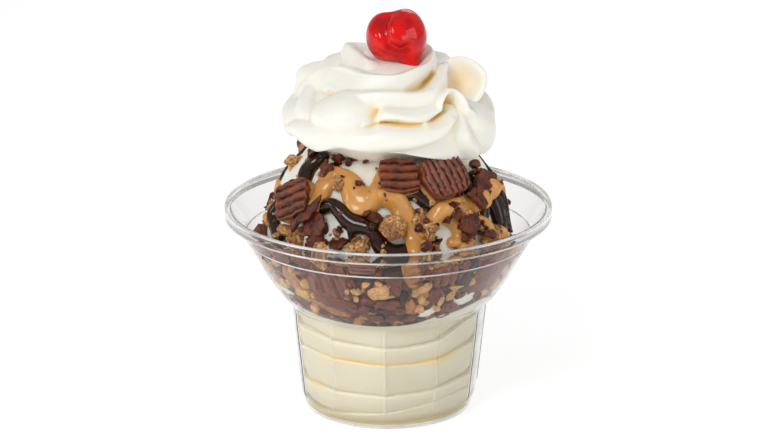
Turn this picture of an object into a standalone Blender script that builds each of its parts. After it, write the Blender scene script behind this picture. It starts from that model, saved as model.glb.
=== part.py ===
"""Peanut-butter-cup ice cream sundae in a clear fluted dish, about 141 mm tall.

Sizes below are in millimetres and degrees; solids are made in metres. +Z is up, the origin is
the middle of the dish's standing ring on the table, and -Y is the front. An azimuth is measured
from the front, positive towards +X.
"""
import math

import bpy
import numpy as np
from mathutils import Vector
from mathutils.bvhtree import BVHTree

for old in list(bpy.data.objects):
    bpy.data.objects.remove(old, do_unlink=True)

# ---------------------------------------------------------------- driving dimensions
MM = 0.001
GAP = 0.4                 # clearance kept between pieces that touch

RIM_RADIUS = 56.0         # outside of the rolled rim
DISH_HEIGHT = 72.0
WALL = 0.6                # thermoformed plastic
FLOOR = 2.4               # middle of the raised floor's wall
PANELS = 11               # flat flutes round the lower dish
SEAM_AZIMUTH = -2.5       # one corner between two flutes
PANEL_FLATNESS = 0.5      # 0 is round, 1 is a true eleven-sided wall
PANEL_FOOT = (4.8, 1.8)   # where the flutes start, and over what height they set in
PANEL_SHOULDER = (39.4, 2.4)  # where they end, and over what height they die out
COLUMNS = 3 * PANELS      # facets round every turned piece

LAYER_MIDDLE = 45.0       # underside of the chopped layer on the axis
LAYER_EDGE = 40.8         # and about where it lies at the wall
LAYER_TOP = 60.0          # seat of the upper ice cream
COLLAR_RISE = 3.2         # the chopped layer stands up round the upper ice cream
HEAP_CENTRE = (0.0, 0.0, 60.0)
HEAP_RADIUS = 41.6
HEAP_FLATTENING = 4.8     # how much lower the heap's top is than a ball's
CREAM_CENTRE = (0.0, 0.0, 106.0)
CHERRY_CENTRE = (2.8, -3.0, 131.2)
CHERRY_RADIUS = 10.2

azimuths = np.radians(SEAM_AZIMUTH + np.arange(COLUMNS) * 360.0 / COLUMNS)


# ---------------------------------------------------------------- helpers
def finish(name, colour, roughness, alpha=1.0):
    """A plain material with the piece's own colour."""
    made = bpy.data.materials.new(name)
    made.use_nodes = True
    shader = made.node_tree.nodes["Principled BSDF"]
    shader.inputs["Base Color"].default_value = (*colour, 1.0)
    shader.inputs["Roughness"].default_value = roughness
    shader.inputs["Metallic"].default_value = 0.0
    shader.inputs["Alpha"].default_value = alpha
    return made


CLEAR = finish("clear_plastic", (0.86, 0.87, 0.88), 0.06, 0.3)
VANILLA = finish("vanilla_ice_cream", (0.86, 0.82, 0.68), 0.45)
CHOPPED = finish("chopped_pieces", (0.24, 0.12, 0.07), 0.5)
FUDGE = finish("fudge_sauce", (0.015, 0.006, 0.004), 0.12)
PEANUT_SAUCE = finish("peanut_butter_sauce", (0.62, 0.33, 0.11), 0.25)
MILK_CHOCOLATE = finish("milk_chocolate", (0.15, 0.05, 0.03), 0.38)
PEANUT_BUTTER = finish("peanut_butter", (0.5, 0.28, 0.12), 0.7)
CREAM = finish("whipped_cream", (0.92, 0.9, 0.85), 0.5)
CHERRY_RED = finish("cherry_skin", (0.55, 0.005, 0.008), 0.1)

tops = {}                 # name -> search tree of each piece that others lie on or against


def add_solid(name, points, faces, material):
    """Makes one named object from points in millimetres, and keeps its search tree."""
    points = np.asarray(points, float)
    mesh = bpy.data.meshes.new(name)
    mesh.from_pydata((points * MM).tolist(), [], faces)
    mesh.validate()
    mesh.shade_smooth()
    mesh.set_sharp_from_angle(angle=math.radians(40))
    mesh.materials.append(material)
    made = bpy.data.objects.new(name, mesh)
    bpy.context.scene.collection.objects.link(made)
    tops[name] = BVHTree.FromPolygons([Vector(p) for p in points], faces)
    return made


def around(radius, height, azimuth):
    """A ring or grid of points from radius, height and azimuth (radians) about the axis."""
    radius, height, azimuth = np.broadcast_arrays(radius, height, azimuth)
    return np.stack([radius * np.sin(azimuth), -radius * np.cos(azimuth), height], -1)


def close_grid(name, grid, material):
    """A solid from rows of rings: the first and last rows are single points on the skin."""
    rows, columns = grid.shape[:2]
    points = [grid[0, 0]] + list(grid[1:-1].reshape(-1, 3)) + [grid[-1, 0]]
    last = len(points) - 1
    faces = []
    for j in range(columns):
        k = (j + 1) % columns
        faces.append((0, 1 + k, 1 + j))
        for i in range(rows - 3):
            low, high = 1 + i * columns, 1 + (i + 1) * columns
            faces.append((low + j, low + k, high + k, high + j))
        ring = 1 + (rows - 3) * columns
        faces.append((last, ring + j, ring + k))
    return add_solid(name, points, triangles(points, faces), material)


def triangles(points, faces):
    """Splits each four-sided face along its shorter diagonal."""
    split = []
    for face in faces:
        if len(face) == 3:
            split.append(tuple(face))
            continue
        a, b, c, d = (np.asarray(points[i]) for i in face)
        if np.linalg.norm(a - c) <= np.linalg.norm(b - d):
            split += [(face[0], face[1], face[2]), (face[0], face[2], face[3])]
        else:
            split += [(face[0], face[1], face[3]), (face[1], face[2], face[3])]
    return split


def bump(angle, centre, width):
    """A soft bump of height 1 at centre, both in degrees, that wraps round the circle."""
    away = (angle - centre + 180.0) % 360.0 - 180.0
    return np.exp(-0.5 * (away / width) ** 2)


# ---------------------------------------------------------------- dish
def panel_factor(height, azimuth):
    """How far the fluted wall lies inside its round radius: flat panels from foot to shoulder."""
    half = math.pi / PANELS
    turn = (azimuth - math.radians(SEAM_AZIMUTH)) % (2 * half) - half
    flat = math.cos(half) / np.cos(turn)
    foot = np.clip((height - PANEL_FOOT[0]) / PANEL_FOOT[1], 0, 1)
    shoulder = np.clip((PANEL_SHOULDER[0] - height) / PANEL_SHOULDER[1], 0, 1)
    return 1 - PANEL_FLATNESS * (1 - flat) * foot * shoulder


# middle of the wall from the floor's centre, down the standing ring, up the flutes, over the
# shoulder and bowl to the flared wall, and round the turned-down rim
dish_line = np.array([
    (0.0, FLOOR), (23.6, FLOOR), (26.3, 0.9), (26.9, 0.3), (28.4, 0.3), (29.9, 4.8),
    (30.7, 6.6), (33.4, 32.0), (33.75, 37.3), (34.9, 39.6), (37.4, 42.2), (41.6, 48.4),
    (46.2, 56.9), (47.3, 58.9), (53.3, 70.0), (54.2, DISH_HEIGHT - WALL / 2),
    (RIM_RADIUS - WALL / 2, DISH_HEIGHT - WALL / 2), (RIM_RADIUS - WALL / 2, 68.6)])


def wall_sides(line, thickness):
    """The line moved half a thickness to each side, with mitred corners: (outside, inside)."""
    run = np.diff(line, axis=0)
    run /= np.linalg.norm(run, axis=1)[:, None]
    square = np.stack([run[:, 1], -run[:, 0]], -1)
    before = np.vstack([square[:1], square])
    after = np.vstack([square, square[-1:]])
    corner = before + after
    corner /= np.linalg.norm(corner, axis=1)[:, None]
    reach = np.minimum(1 / np.sum(corner * before, axis=1), 1.4)[:, None]
    return line + corner * reach * thickness / 2, line - corner * reach * thickness / 2


dish_outside, dish_inside = wall_sides(dish_line, WALL)
outline = np.vstack([dish_outside, dish_inside[::-1]])
outline[[0, -1], 0] = 0.0
radius, height = outline[:, :1], outline[:, 1:]
close_grid("cup", around(radius * panel_factor(height, azimuths), height, azimuths), CLEAR)

FIRST_WALL_POINT = 4      # from the standing ring upwards the inner wall only widens
inner_wall = dish_inside[FIRST_WALL_POINT:-3]


def dish_inner(height, azimuth):
    """Radius of the inside of the wall at a height."""
    round_radius = np.interp(height, inner_wall[:, 1], inner_wall[:, 0])
    return round_radius * panel_factor(height, azimuth)


# ---------------------------------------------------------------- lower ice cream
COIL_PITCH = 18.0         # the soft-serve coil is laid two strands at a time
COIL_STARTS = (12.4, 24.2)
CREASE_DEPTH = 1.5
CREASE_WIDTH = 1.5


def layer_edge(azimuth):
    """Height at the wall where the lower ice cream meets the chopped layer."""
    angle = np.degrees(azimuth)
    sides = 5.5 * bump(angle, 52, 13) + 3.0 * bump(angle, -66, 15) + 2.0 * bump(angle, 26, 7)
    back = 3.0 * bump(angle, 150, 22) + 2.0 * bump(angle, -140, 18)
    return LAYER_EDGE + sides + back - 0.8 * bump(angle, -8, 15)


def coil_crease(height, azimuth):
    """Depth of the creases between turns of the coil, which climb to the right."""
    climb = COIL_PITCH * azimuth / (2 * math.pi) + 1.4 * (1 - np.cos(azimuth))
    depth = 0.0
    for start in COIL_STARTS:
        away = (height - start - climb + COIL_PITCH / 2) % COIL_PITCH - COIL_PITCH / 2
        depth = depth + CREASE_DEPTH * np.exp(-np.abs(away) / CREASE_WIDTH)
    return depth


def seat(share, centre_height, edge_height):
    """A dished surface: centre_height on the axis, edge_height where share is 1."""
    return centre_height + (edge_height - centre_height) * share ** 2


edge = layer_edge(azimuths)
base_floor = FLOOR + WALL / 2 + GAP
BASE_ROWS = 12
rows = [around(0.0, base_floor, azimuths), around(19.0, base_floor, azimuths),
        around(26.4, base_floor + 0.3, azimuths)]
for step in range(BASE_ROWS + 1):
    height = 5.4 + (edge - 5.4) * step / BASE_ROWS
    rows.append(around(dish_inner(height, azimuths) - GAP - coil_crease(height, azimuths),
                       height, azimuths))
SEAT_SHARES = (0.72, 0.38, 0.0)
for share in SEAT_SHARES:
    rows.append(around(share * (dish_inner(edge, azimuths) - GAP),
                       seat(share, LAYER_MIDDLE, edge), azimuths))
close_grid("ice_cream_base", np.array(rows), VANILLA)

# ---------------------------------------------------------------- chopped pieces and sauce
LUMP_DEPTH = 0.9          # how far the packed pieces leave the wall


def packed_lumps(height, azimuth):
    """Uneven outside of the packed pieces, in millimetres inside the wall."""
    wave = np.sin(7 * azimuth + height / 3.1) * np.sin(4 * azimuth - height / 4.3 + 1.0)
    return LUMP_DEPTH * (0.5 + 0.5 * wave)


def collar_top(azimuth):
    """Height at the wall of the top of the chopped layer."""
    angle = np.degrees(azimuth)
    lumps = 0.9 * np.sin(5 * azimuth + 0.6) + 0.6 * np.sin(9 * azimuth)
    return 60.6 + lumps + 2.2 * bump(angle, -45, 25) + 1.4 * bump(angle, 35, 20)


layer_floor = edge + GAP
rim_of_layer = collar_top(azimuths)
wall_radius = dish_inner(layer_floor, azimuths) - GAP
rows = [around(share * wall_radius, seat(share, LAYER_MIDDLE + GAP, layer_floor), azimuths)
        for share in SEAT_SHARES[::-1]]
for share in (0.0, 0.3, 0.6, 0.85, 1.0):
    height = layer_floor + (rim_of_layer - layer_floor) * share
    depth = packed_lumps(height, azimuths) * (share > 0)
    rows.append(around(dish_inner(height, azimuths) - GAP - depth, height, azimuths))
rows += [around(44.4, rim_of_layer + COLLAR_RISE * 0.7, azimuths),
         around(HEAP_RADIUS + 1.0, rim_of_layer + COLLAR_RISE, azimuths),
         around(HEAP_RADIUS + GAP, LAYER_TOP + 0.8, azimuths),
         around(20.0, LAYER_TOP, azimuths), around(0.0, LAYER_TOP, azimuths)]
close_grid("chopped_layer", np.array(rows), CHOPPED)

# ---------------------------------------------------------------- upper ice cream
FOLD_PITCH = 24.0         # degrees of elevation between folds
FOLD_DEPTH = 1.3


def heap_surface(azimuth, elevation):
    """Distance from the heap's centre to the upper ice cream: a ball with a lowered top and
    shallow folds that wind round it. Angles in degrees."""
    lowered = HEAP_FLATTENING * np.clip((elevation - 48.0) / 42.0, 0, 1) ** 1.5
    phase = elevation / FOLD_PITCH - azimuth / 360.0
    fold = FOLD_DEPTH * np.abs(np.sin(math.pi * phase)) ** 0.7 * np.cos(np.radians(elevation))
    foot = np.clip((elevation - 8.0) / 12.0, 0, 1)
    return HEAP_RADIUS - lowered - (FOLD_DEPTH - fold) * foot * np.cos(np.radians(elevation))


def from_heap(azimuth, elevation, distance):
    """Point at a direction (degrees) and distance from the heap's centre."""
    azimuth, elevation = np.radians(azimuth), np.radians(elevation)
    point = around(distance * np.cos(elevation), distance * np.sin(elevation), azimuth)
    return point + np.array(HEAP_CENTRE)


degrees = np.degrees(azimuths)
rows = [around(0.0, LAYER_TOP + GAP, azimuths), around(20.0, LAYER_TOP + GAP, azimuths)]
for elevation in (2.0, 10.0, 16.5, 23.0, 29.5, 36.0, 42.5, 49.0, 56.0, 65.0, 76.0, 90.0):
    rows.append(from_heap(degrees, elevation, heap_surface(degrees, elevation)))
rows[-1][:] = rows[-1][0]
close_grid("ice_cream_top", np.array(rows), VANILLA)

# ---------------------------------------------------------------- things laid on the heap
LYING = ["chopped_layer", "ice_cream_top"]
SEARCH_FROM = 90.0        # outside everything that lies on the heap


def heap_top(direction, spread):
    """Distance from the heap's centre to the outermost piece in a direction, looked up over a
    patch of the given half-width so that what is laid there clears every neighbour."""
    centre = Vector(HEAP_CENTRE)
    direction = Vector(direction).normalized()
    side = direction.orthogonal().normalized()
    other = direction.cross(side)
    turns = [math.radians(45 * k) for k in range(8)]
    offsets = [(0.0, 0.0)]
    offsets += [(r * math.cos(t), r * math.sin(t)) for t in turns for r in (spread, spread / 2)]
    highest = 0.0
    for across, along in offsets:
        aim = (direction * HEAP_RADIUS + side * across + other * along).normalized()
        for name in LYING:
            hit = tops[name].ray_cast(centre + aim * SEARCH_FROM, -aim)[0]
            if hit is not None:
                highest = max(highest, (hit - centre).length)
    return highest


def smooth_route(points, count):
    """Evenly spaced directions on a smooth (Catmull-Rom) curve through (azimuth, elevation)."""
    points = np.asarray(points, float)
    ends = np.vstack([2 * points[0] - points[1], points, 2 * points[-1] - points[-2]])
    fine = []
    for i in range(len(points) - 1):
        a, b, c, d = ends[i:i + 4]
        t = np.linspace(0, 1, 24, endpoint=False)[:, None]
        fine.append(0.5 * (2 * b + (c - a) * t + (2 * a - 5 * b + 4 * c - d) * t ** 2
                           + (3 * b - a - 3 * c + d) * t ** 3))
    fine = np.vstack(fine + [points[-1:]])
    place = from_heap(fine[:, 0], fine[:, 1], HEAP_RADIUS)
    length = np.concatenate([[0], np.cumsum(np.linalg.norm(np.diff(place, axis=0), axis=1))])
    even = np.linspace(0, length[-1], count)
    return np.stack([np.interp(even, length, place[:, k]) for k in range(3)], -1)


RIBBON_TOP = ((-1.0, 0.0), (-0.72, 0.72), (0.0, 1.0), (0.72, 0.72), (1.0, 0.0))
RIBBON_UNDER = (0.45, -0.45)
RIBBON_STEP = 3.4         # spacing of the sections along a ribbon


def lay_ribbon(name, route, width, height, material):
    """A poured ribbon of sauce: a rounded section carried along a route on the heap, its
    underside following whatever already lies there, and both ends drawn to a point."""
    rough = smooth_route(route, 40)
    length = np.sum(np.linalg.norm(np.diff(rough, axis=0), axis=1))
    count = max(6, int(round(length / RIBBON_STEP)))
    line = smooth_route(route, count)
    centre = np.array(HEAP_CENTRE)
    ahead = np.gradient(line, axis=0)
    grid = []
    for i in range(count):
        out = (line[i] - centre) / np.linalg.norm(line[i] - centre)
        across = np.cross(ahead[i], out)
        across /= np.linalg.norm(across)
        share = i / (count - 1)
        fullness = max(0.0, 1 - abs(2 * share - 1) ** 7) ** 0.5
        half = width / 2 * fullness
        ring = []
        for side, rise in list(RIBBON_TOP) + [(s, None) for s in RIBBON_UNDER]:
            place = out * HEAP_RADIUS + across * (side * half)
            toward = place / np.linalg.norm(place)
            under = heap_top(toward, 2.0) + GAP
            lift = 0.0 if rise is None else rise * height * fullness
            ring.append(centre + toward * (under + lift))
        grid.append(ring)
    grid = np.array(grid)
    grid[0] = grid[0].mean(axis=0)
    grid[-1] = grid[-1].mean(axis=0)
    close_grid(name, grid, material)
    LYING.append(name)


def lay_piece(name, azimuth, elevation, size, roll, height, ridges, material, taper=0.0):
    """A broken piece lying on the heap: a slab with ridges across its outer face (none for a
    plain chip), uneven broken edges, sides that follow the heap's directions, and an
    underside that follows what it lies on."""
    centre = np.array(HEAP_CENTRE)
    out = from_heap(azimuth, elevation, 1.0) - centre
    right = np.cross([0.0, 0.0, 1.0], out)
    right /= np.linalg.norm(right)
    up = np.cross(out, right)
    roll = math.radians(roll)
    along = right * math.cos(roll) + up * math.sin(roll)
    over = up * math.cos(roll) - right * math.sin(roll)
    across_count = 2 * ridges + 1 if ridges else 4
    along_count = 4
    u = np.linspace(-0.5, 0.5, along_count)
    v = np.linspace(-0.5, 0.5, across_count)
    level = heap_top(out, 2.0)
    upper, lower = [], []
    for i, vi in enumerate(v):
        for ui in u:
            jag = 0.07 * math.sin(9 * vi + 5 * azimuth) + 0.06 * math.sin(17 * ui + elevation)
            wide = size[0] * (ui * (1 + jag) * (1 - taper * (vi + 0.5)))
            tall = size[1] * (vi * (1 - jag) + 0.05 * math.sin(7 * ui + roll))
            ridge = 0.9 * (i % 2) if ridges else 0.4 * math.sin(6 * ui + 3 * vi)
            edge_drop = 0.9 * (abs(ui) > 0.49) + 0.6 * (abs(vi) > 0.49)
            place = out * (level + height + ridge - edge_drop) + along * wide + over * tall
            toward = place / np.linalg.norm(place)
            under = heap_top(toward, 3.0) + GAP
            reach = max(np.linalg.norm(place), under + 1.2)
            upper.append(centre + toward * reach)
            lower.append(centre + toward * under)
    points = upper + lower
    base = len(upper)
    faces = []
    for i in range(across_count - 1):
        for j in range(along_count - 1):
            a = i * along_count + j
            faces.append((a, a + 1, a + along_count + 1, a + along_count))
            faces.append((base + a, base + a + along_count, base + a + along_count + 1,
                          base + a + 1))
    border = list(range(along_count))
    border += [i * along_count + along_count - 1 for i in range(1, across_count)]
    border += [(across_count - 1) * along_count + j for j in range(along_count - 2, -1, -1)]
    border += [i * along_count for i in range(across_count - 2, 0, -1)]
    for a, b in zip(border, border[1:] + border[:1]):
        faces.append((a, base + a, base + b, b))
    add_solid(name, points, triangles(points, faces), material)
    LYING.append(name)


def lay_lump(name, azimuth, elevation, radius, height, material):
    """A rounded crumbly lump on the heap, flat underneath where it follows what it lies on."""
    centre = np.array(HEAP_CENTRE)
    out = from_heap(azimuth, elevation, 1.0) - centre
    right = np.cross([0.0, 0.0, 1.0], out)
    right /= np.linalg.norm(right)
    up = np.cross(out, right)
    level = heap_top(out, radius * 0.5) + GAP
    rings = ((0.0, 0.0), (0.62, 0.0), (0.96, 0.3), (0.9, 0.68), (0.5, 0.94), (0.0, 1.0))
    grid = []
    for spread, rise in rings:
        ring = []
        for k in range(10):
            turn = 2 * math.pi * k / 10
            uneven = 1 + 0.1 * math.sin(3 * turn + azimuth) + 0.06 * math.sin(5 * turn + 2 * rise)
            side = right * math.cos(turn) + up * math.sin(turn)
            place = out * (level + rise * height) + side * (radius * spread * uneven)
            toward = place / np.linalg.norm(place)
            under = heap_top(toward, 2.2) + GAP
            reach = under if rise == 0.0 else max(np.linalg.norm(place), under + 0.9)
            ring.append(centre + toward * reach)
        grid.append(ring)
    grid = np.array(grid)
    grid[0] = grid[0].mean(axis=0)
    grid[-1] = grid[-1].mean(axis=0)
    close_grid(name, grid, material)
    LYING.append(name)


# fudge was poured first, then peanut butter sauce, then the chopped candy was scattered
lay_ribbon("fudge_front", [(-44, 24), (-38, 27.5), (-30, 30), (-25, 27.5), (-20, 24.5),
                           (-13, 22.8), (-8, 21.5), (-4.5, 16), (1, 10.8), (10, 10.8)],
           6.4, 4.0, FUDGE)
lay_ribbon("fudge_left", [(-55, 51), (-60, 45), (-61, 38), (-65, 31), (-70, 24), (-72, 17.5),
                          (-68, 13), (-61, 9)], 5.4, 3.4, FUDGE)
lay_ribbon("fudge_upper", [(2, 38), (12, 37), (22, 33), (32, 29.5), (41, 31), (47, 37),
                           (54, 43)], 5.0, 3.4, FUDGE)
lay_ribbon("fudge_right", [(60, 42), (65, 34), (67, 26), (66, 17), (65, 8)], 8.0, 3.6, FUDGE)
lay_ribbon("fudge_back", [(126, 20), (136, 27), (150, 34), (166, 30), (180, 22), (194, 20),
                          (208, 27), (220, 30), (231, 22)], 5.6, 3.6, FUDGE)

lay_ribbon("peanut_sauce_left", [(-40, 25), (-40, 33), (-37, 41), (-29, 43.5), (-23, 40.5),
                                 (-16, 34.5), (-10, 35), (-5.5, 42), (-2, 52)],
           8.0, 3.0, PEANUT_SAUCE)
lay_ribbon("peanut_sauce_middle", [(-5, 34), (3, 33), (9, 26), (13, 18), (17, 10)],
           7.6, 3.0, PEANUT_SAUCE)
lay_ribbon("peanut_sauce_right", [(18, 21), (25, 25.5), (33, 27.5), (42, 27.5), (51, 28),
                                  (61, 30)], 6.4, 2.8, PEANUT_SAUCE)
lay_ribbon("peanut_sauce_low", [(26, 12), (34, 15), (46, 12), (58, 9), (68, 8)],
           5.6, 2.6, PEANUT_SAUCE)
lay_ribbon("peanut_sauce_back", [(124, 12), (132, 18), (142, 20), (156, 38), (172, 40),
                                 (188, 15), (204, 16), (214, 36), (224, 34), (232, 16),
                                 (238, 10)], 6.0, 3.0, PEANUT_SAUCE)

# cup-shaped candies broken up: ridged side pieces, plain chips and peanut butter lumps
lay_piece("candy_front", 6, 43.5, (13.4, 12.0), 0, 5.2, 4, MILK_CHOCOLATE)
lay_piece("candy_right", 31.5, 41, (14.6, 16.6), 97, 5.8, 4, MILK_CHOCOLATE)
lay_piece("candy_left", -51, 28, (15.0, 14.6), 30, 5.0, 4, MILK_CHOCOLATE)
lay_piece("candy_far_right", 54, 32, (14.0, 11.0), 25, 4.8, 3, MILK_CHOCOLATE)
lay_piece("candy_back_right", 128, 41, (13.0, 12.0), 20, 5.2, 4, MILK_CHOCOLATE)
lay_piece("candy_back_left", -146, 26, (13.0, 12.0), 75, 5.2, 4, MILK_CHOCOLATE)
lay_piece("chip_left", -37, 21.5, (10.5, 15.5), 20, 2.8, 0, MILK_CHOCOLATE, 0.5)
lay_piece("chip_back", 172, 12, (12.0, 8.0), 10, 2.8, 0, MILK_CHOCOLATE, 0.3)
lay_lump("peanut_lump_front", 1.5, 21.5, 6.0, 6.4, PEANUT_BUTTER)
lay_lump("peanut_lump_back", -162, 44, 5.2, 5.4, PEANUT_BUTTER)
lay_lump("crumble_right", 38, 19.5, 5.6, 3.8, MILK_CHOCOLATE)
lay_lump("crumble_left", -27, 9.5, 4.6, 3.2, PEANUT_BUTTER)

# ---------------------------------------------------------------- cherry
CHERRY_RINGS = 9
CHERRY_COLUMNS = 16
cherry_marks = (          # direction (x, y, z), angular width, change of radius
    ((-0.24, -0.62, 0.92), 14.0, -0.15),     # stalk dimple between the two shoulders
    ((-0.2, 0.1, 1.0), 20.0, -0.12),         # hollow that runs on behind it
    ((0.34, -0.88, 0.2), 24.0, -0.09),       # flat face where the stone came out
    ((0.34, 0.0, 1.0), 16.0, 0.045),         # taller shoulder
    ((-0.75, -0.2, 0.55), 24.0, 0.04),       # lower shoulder
    ((0.42, -0.45, -0.8), 16.0, 0.13),       # blunt tip
    ((-0.6, -0.3, -0.8), 26.0, -0.05))       # drawn in beside it


def cherry_radius(direction):
    """A ball with its radius changed by the marks, each a soft bump round its direction."""
    radius = CHERRY_RADIUS
    for toward, width, change in cherry_marks:
        toward = np.array(toward) / np.linalg.norm(toward)
        away = math.degrees(math.acos(max(-1.0, min(1.0, float(direction @ toward)))))
        radius += CHERRY_RADIUS * change * math.exp(-0.5 * (away / width) ** 2)
    return radius


grid = []
for i in range(CHERRY_RINGS + 1):
    tilt = -math.pi / 2 + math.pi * i / CHERRY_RINGS
    ring = []
    for j in range(CHERRY_COLUMNS):
        turn = 2 * math.pi * j / CHERRY_COLUMNS
        direction = around(math.cos(tilt), math.sin(tilt), turn)
        ring.append(np.array(CHERRY_CENTRE) + direction * cherry_radius(direction))
    grid.append(ring)
close_grid("cherry", np.array(grid), CHERRY_RED)

# ---------------------------------------------------------------- whipped cream
# soft ropes piped round and round into a rosette. Each row is azimuth, distance from the axis,
# height and radius of the rope at that place; thinner ropes are the crests of its folds.
rosette = [
    # first turn, widest where it sags at the right, and round the back to the left
    [(-24, 22, 103, 4), (7, 26.5, 103, 4.8), (26, 27, 101.5, 6.5), (59, 28.5, 99.6, 8.6),
     (95, 28.6, 101.2, 8.2), (142, 27, 101.5, 7.6), (202, 27, 102.5, 7.4), (283, 28.6, 105.5, 6.4)],
    # second turn, which climbs across the front
    [(-110, 28.4, 104.5, 6.6), (-57, 28.9, 103.4, 5.6), (-28, 29.8, 103.4, 4.3),
     (4, 29.5, 105.2, 4.4), (33, 28.8, 108.3, 4), (58, 27.5, 113.4, 3.3), (90, 24.5, 116.5, 4),
     (130, 24, 115.5, 5.2), (200, 24, 114.5, 5.5)],
    # full lobe at the front left, with the filling behind it
    [(-110, 24.5, 111.5, 6), (-50, 25.6, 111.6, 6.8), (-17, 25, 112.3, 6)],
    [(60, 20, 112, 6), (130, 22.5, 112, 6.4), (210, 23, 112, 6.4), (250, 24.5, 111.5, 6)],
    # crest over the lobe, and the roll under its right end
    [(-80, 28.4, 110.5, 3), (-57, 27.6, 114.8, 3), (-38, 26.6, 116, 3.2), (9, 24.6, 115.7, 3.6),
     (38, 23.6, 116, 3.4), (70, 19, 121, 3.2), (130, 16, 122, 3.6), (170, 15.5, 122, 4)],
    [(-5, 24.6, 111, 3), (18, 27.2, 110.3, 3.5), (44, 26.4, 113.4, 3.1), (62, 22.6, 118, 2.9)],
    # curl at the right and the crest that runs down from it
    [(36, 28.4, 111.6, 2.2), (45, 27.8, 116.4, 2.1), (54, 30, 111, 2.6), (55, 32.6, 101, 3),
     (50, 32, 97, 2.4)],
    # upper crest, the rim round the cherry and the tip at the left
    [(-66, 28.2, 113.6, 2.4), (-44, 24.4, 120.8, 2.6), (5, 21.6, 119.5, 3),
     (39, 17.4, 121.4, 2.8), (80, 13, 123, 2.6)],
    [(-94, 13.4, 123.8, 3), (-53, 13.2, 121.6, 3.4), (14, 12.6, 120.4, 3.4), (73, 13, 122.4, 3.2),
     (150, 12.5, 122, 3.5), (266, 13.4, 123.6, 3)],
    [(-72, 27.5, 113, 3.6), (-68, 31, 120.2, 2)]]


def whole_turn(radius, height, size):
    """A level ring of rope, which fills the rosette from inside."""
    return [(turn, radius, height, size) for turn in range(-180, 181, 30)]


def petal(across, back, height, radius, size):
    """A fold that stands off at the back like a petal: a ring of rope turned to the front."""
    points = []
    for step in range(13):
        turn = 2 * math.pi * step / 12
        x, y = across + radius * math.cos(turn), back
        azimuth = math.degrees(math.atan2(x, -y))
        points.append((azimuth, math.hypot(x, y), height + radius * math.sin(turn), size))
    return points


rosette += [whole_turn(20, 106, 9), whole_turn(19, 116.4, 6), petal(24.3, 9, 111.5, 4.6, 4.2)]
CREAM_CORE = (0.0, 0.0, 109.0, 13.0)


def balls_along(route, count):
    """Centres and radii on smooth curves through the rope's points."""
    route = np.asarray(route, float)
    share = np.arange(len(route))
    fine = np.linspace(0, len(route) - 1, count)
    azimuth, radius, height, size = (np.interp(fine, share, route[:, k]) for k in range(4))
    return np.column_stack([around(radius, height, np.radians(azimuth)), size])


balls = np.vstack([balls_along(route, 8 * len(route)) for route in rosette] + [CREAM_CORE])


def cream_surface(direction):
    """Distance from the cream's centre to the outermost ball of the rope in a direction, kept
    clear of the cherry and of everything on the heap."""
    place = balls[:, :3] - np.array(CREAM_CENTRE)
    along = place @ direction
    inside = balls[:, 3] ** 2 - np.sum(place ** 2, axis=1) + along ** 2
    reach = np.max(np.where(inside > 0, along + np.sqrt(np.maximum(inside, 0)), 0))
    centre = Vector(CREAM_CENTRE)
    aim = Vector(direction)
    side = aim.orthogonal().normalized()
    other = aim.cross(side)
    for name in LYING + ["cherry"]:
        for k in range(9):
            turn = math.radians(45 * k)
            spread = 0.0 if k == 8 else 0.09
            look = aim + side * (spread * math.cos(turn)) + other * (spread * math.sin(turn))
            hit = tops[name].ray_cast(centre, look.normalized())[0]
            if hit is not None:
                reach = min(reach, (hit - centre).length - 1.5 * GAP)
    return reach


CREAM_COLUMNS = 36
CREAM_TILTS = (-90, -62, -46, -36, -28, -21, -14, -7, 0, 7, 14, 21, 28, 35, 43, 51, 60, 73, 90)
grid = []
for tilt in CREAM_TILTS:
    ring = []
    for j in range(CREAM_COLUMNS):
        slope, turn = math.radians(tilt), 2 * math.pi * j / CREAM_COLUMNS
        direction = around(math.cos(slope), math.sin(slope), turn)
        ring.append(np.array(CREAM_CENTRE) + direction * cream_surface(direction))
    grid.append(ring)
close_grid("whipped_cream", np.array(grid), CREAM)
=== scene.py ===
import math

import bpy
import numpy as np
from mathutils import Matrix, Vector


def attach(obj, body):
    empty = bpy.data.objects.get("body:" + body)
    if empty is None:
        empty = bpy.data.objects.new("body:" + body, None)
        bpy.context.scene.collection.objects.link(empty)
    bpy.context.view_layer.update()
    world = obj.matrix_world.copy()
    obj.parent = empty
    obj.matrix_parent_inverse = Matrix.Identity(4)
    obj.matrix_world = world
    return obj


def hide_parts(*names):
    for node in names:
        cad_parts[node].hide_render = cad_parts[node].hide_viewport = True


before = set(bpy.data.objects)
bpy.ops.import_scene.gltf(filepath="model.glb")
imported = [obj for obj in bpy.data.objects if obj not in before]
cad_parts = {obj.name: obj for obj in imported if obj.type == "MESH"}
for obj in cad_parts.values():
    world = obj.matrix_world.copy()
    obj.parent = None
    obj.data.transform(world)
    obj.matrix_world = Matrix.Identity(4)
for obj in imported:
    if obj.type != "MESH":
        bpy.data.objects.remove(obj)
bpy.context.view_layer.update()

# ------------------------------------------------------------------ the view
# The sundae is looked at straight on from a metre away and a little above its rim, through a
# long lens. Lengths below are millimetres unless a name says otherwise, and angles are degrees.
MM = 0.001
VIEW_DISTANCE = 1000.0
VIEW_ELEVATION = 17.9
VIEW_WIDTH = 268.2            # what the frame takes in at the dish
SENSOR_WIDTH = 36.0
AIM = (0.9, 0.0, 65.9)

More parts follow.
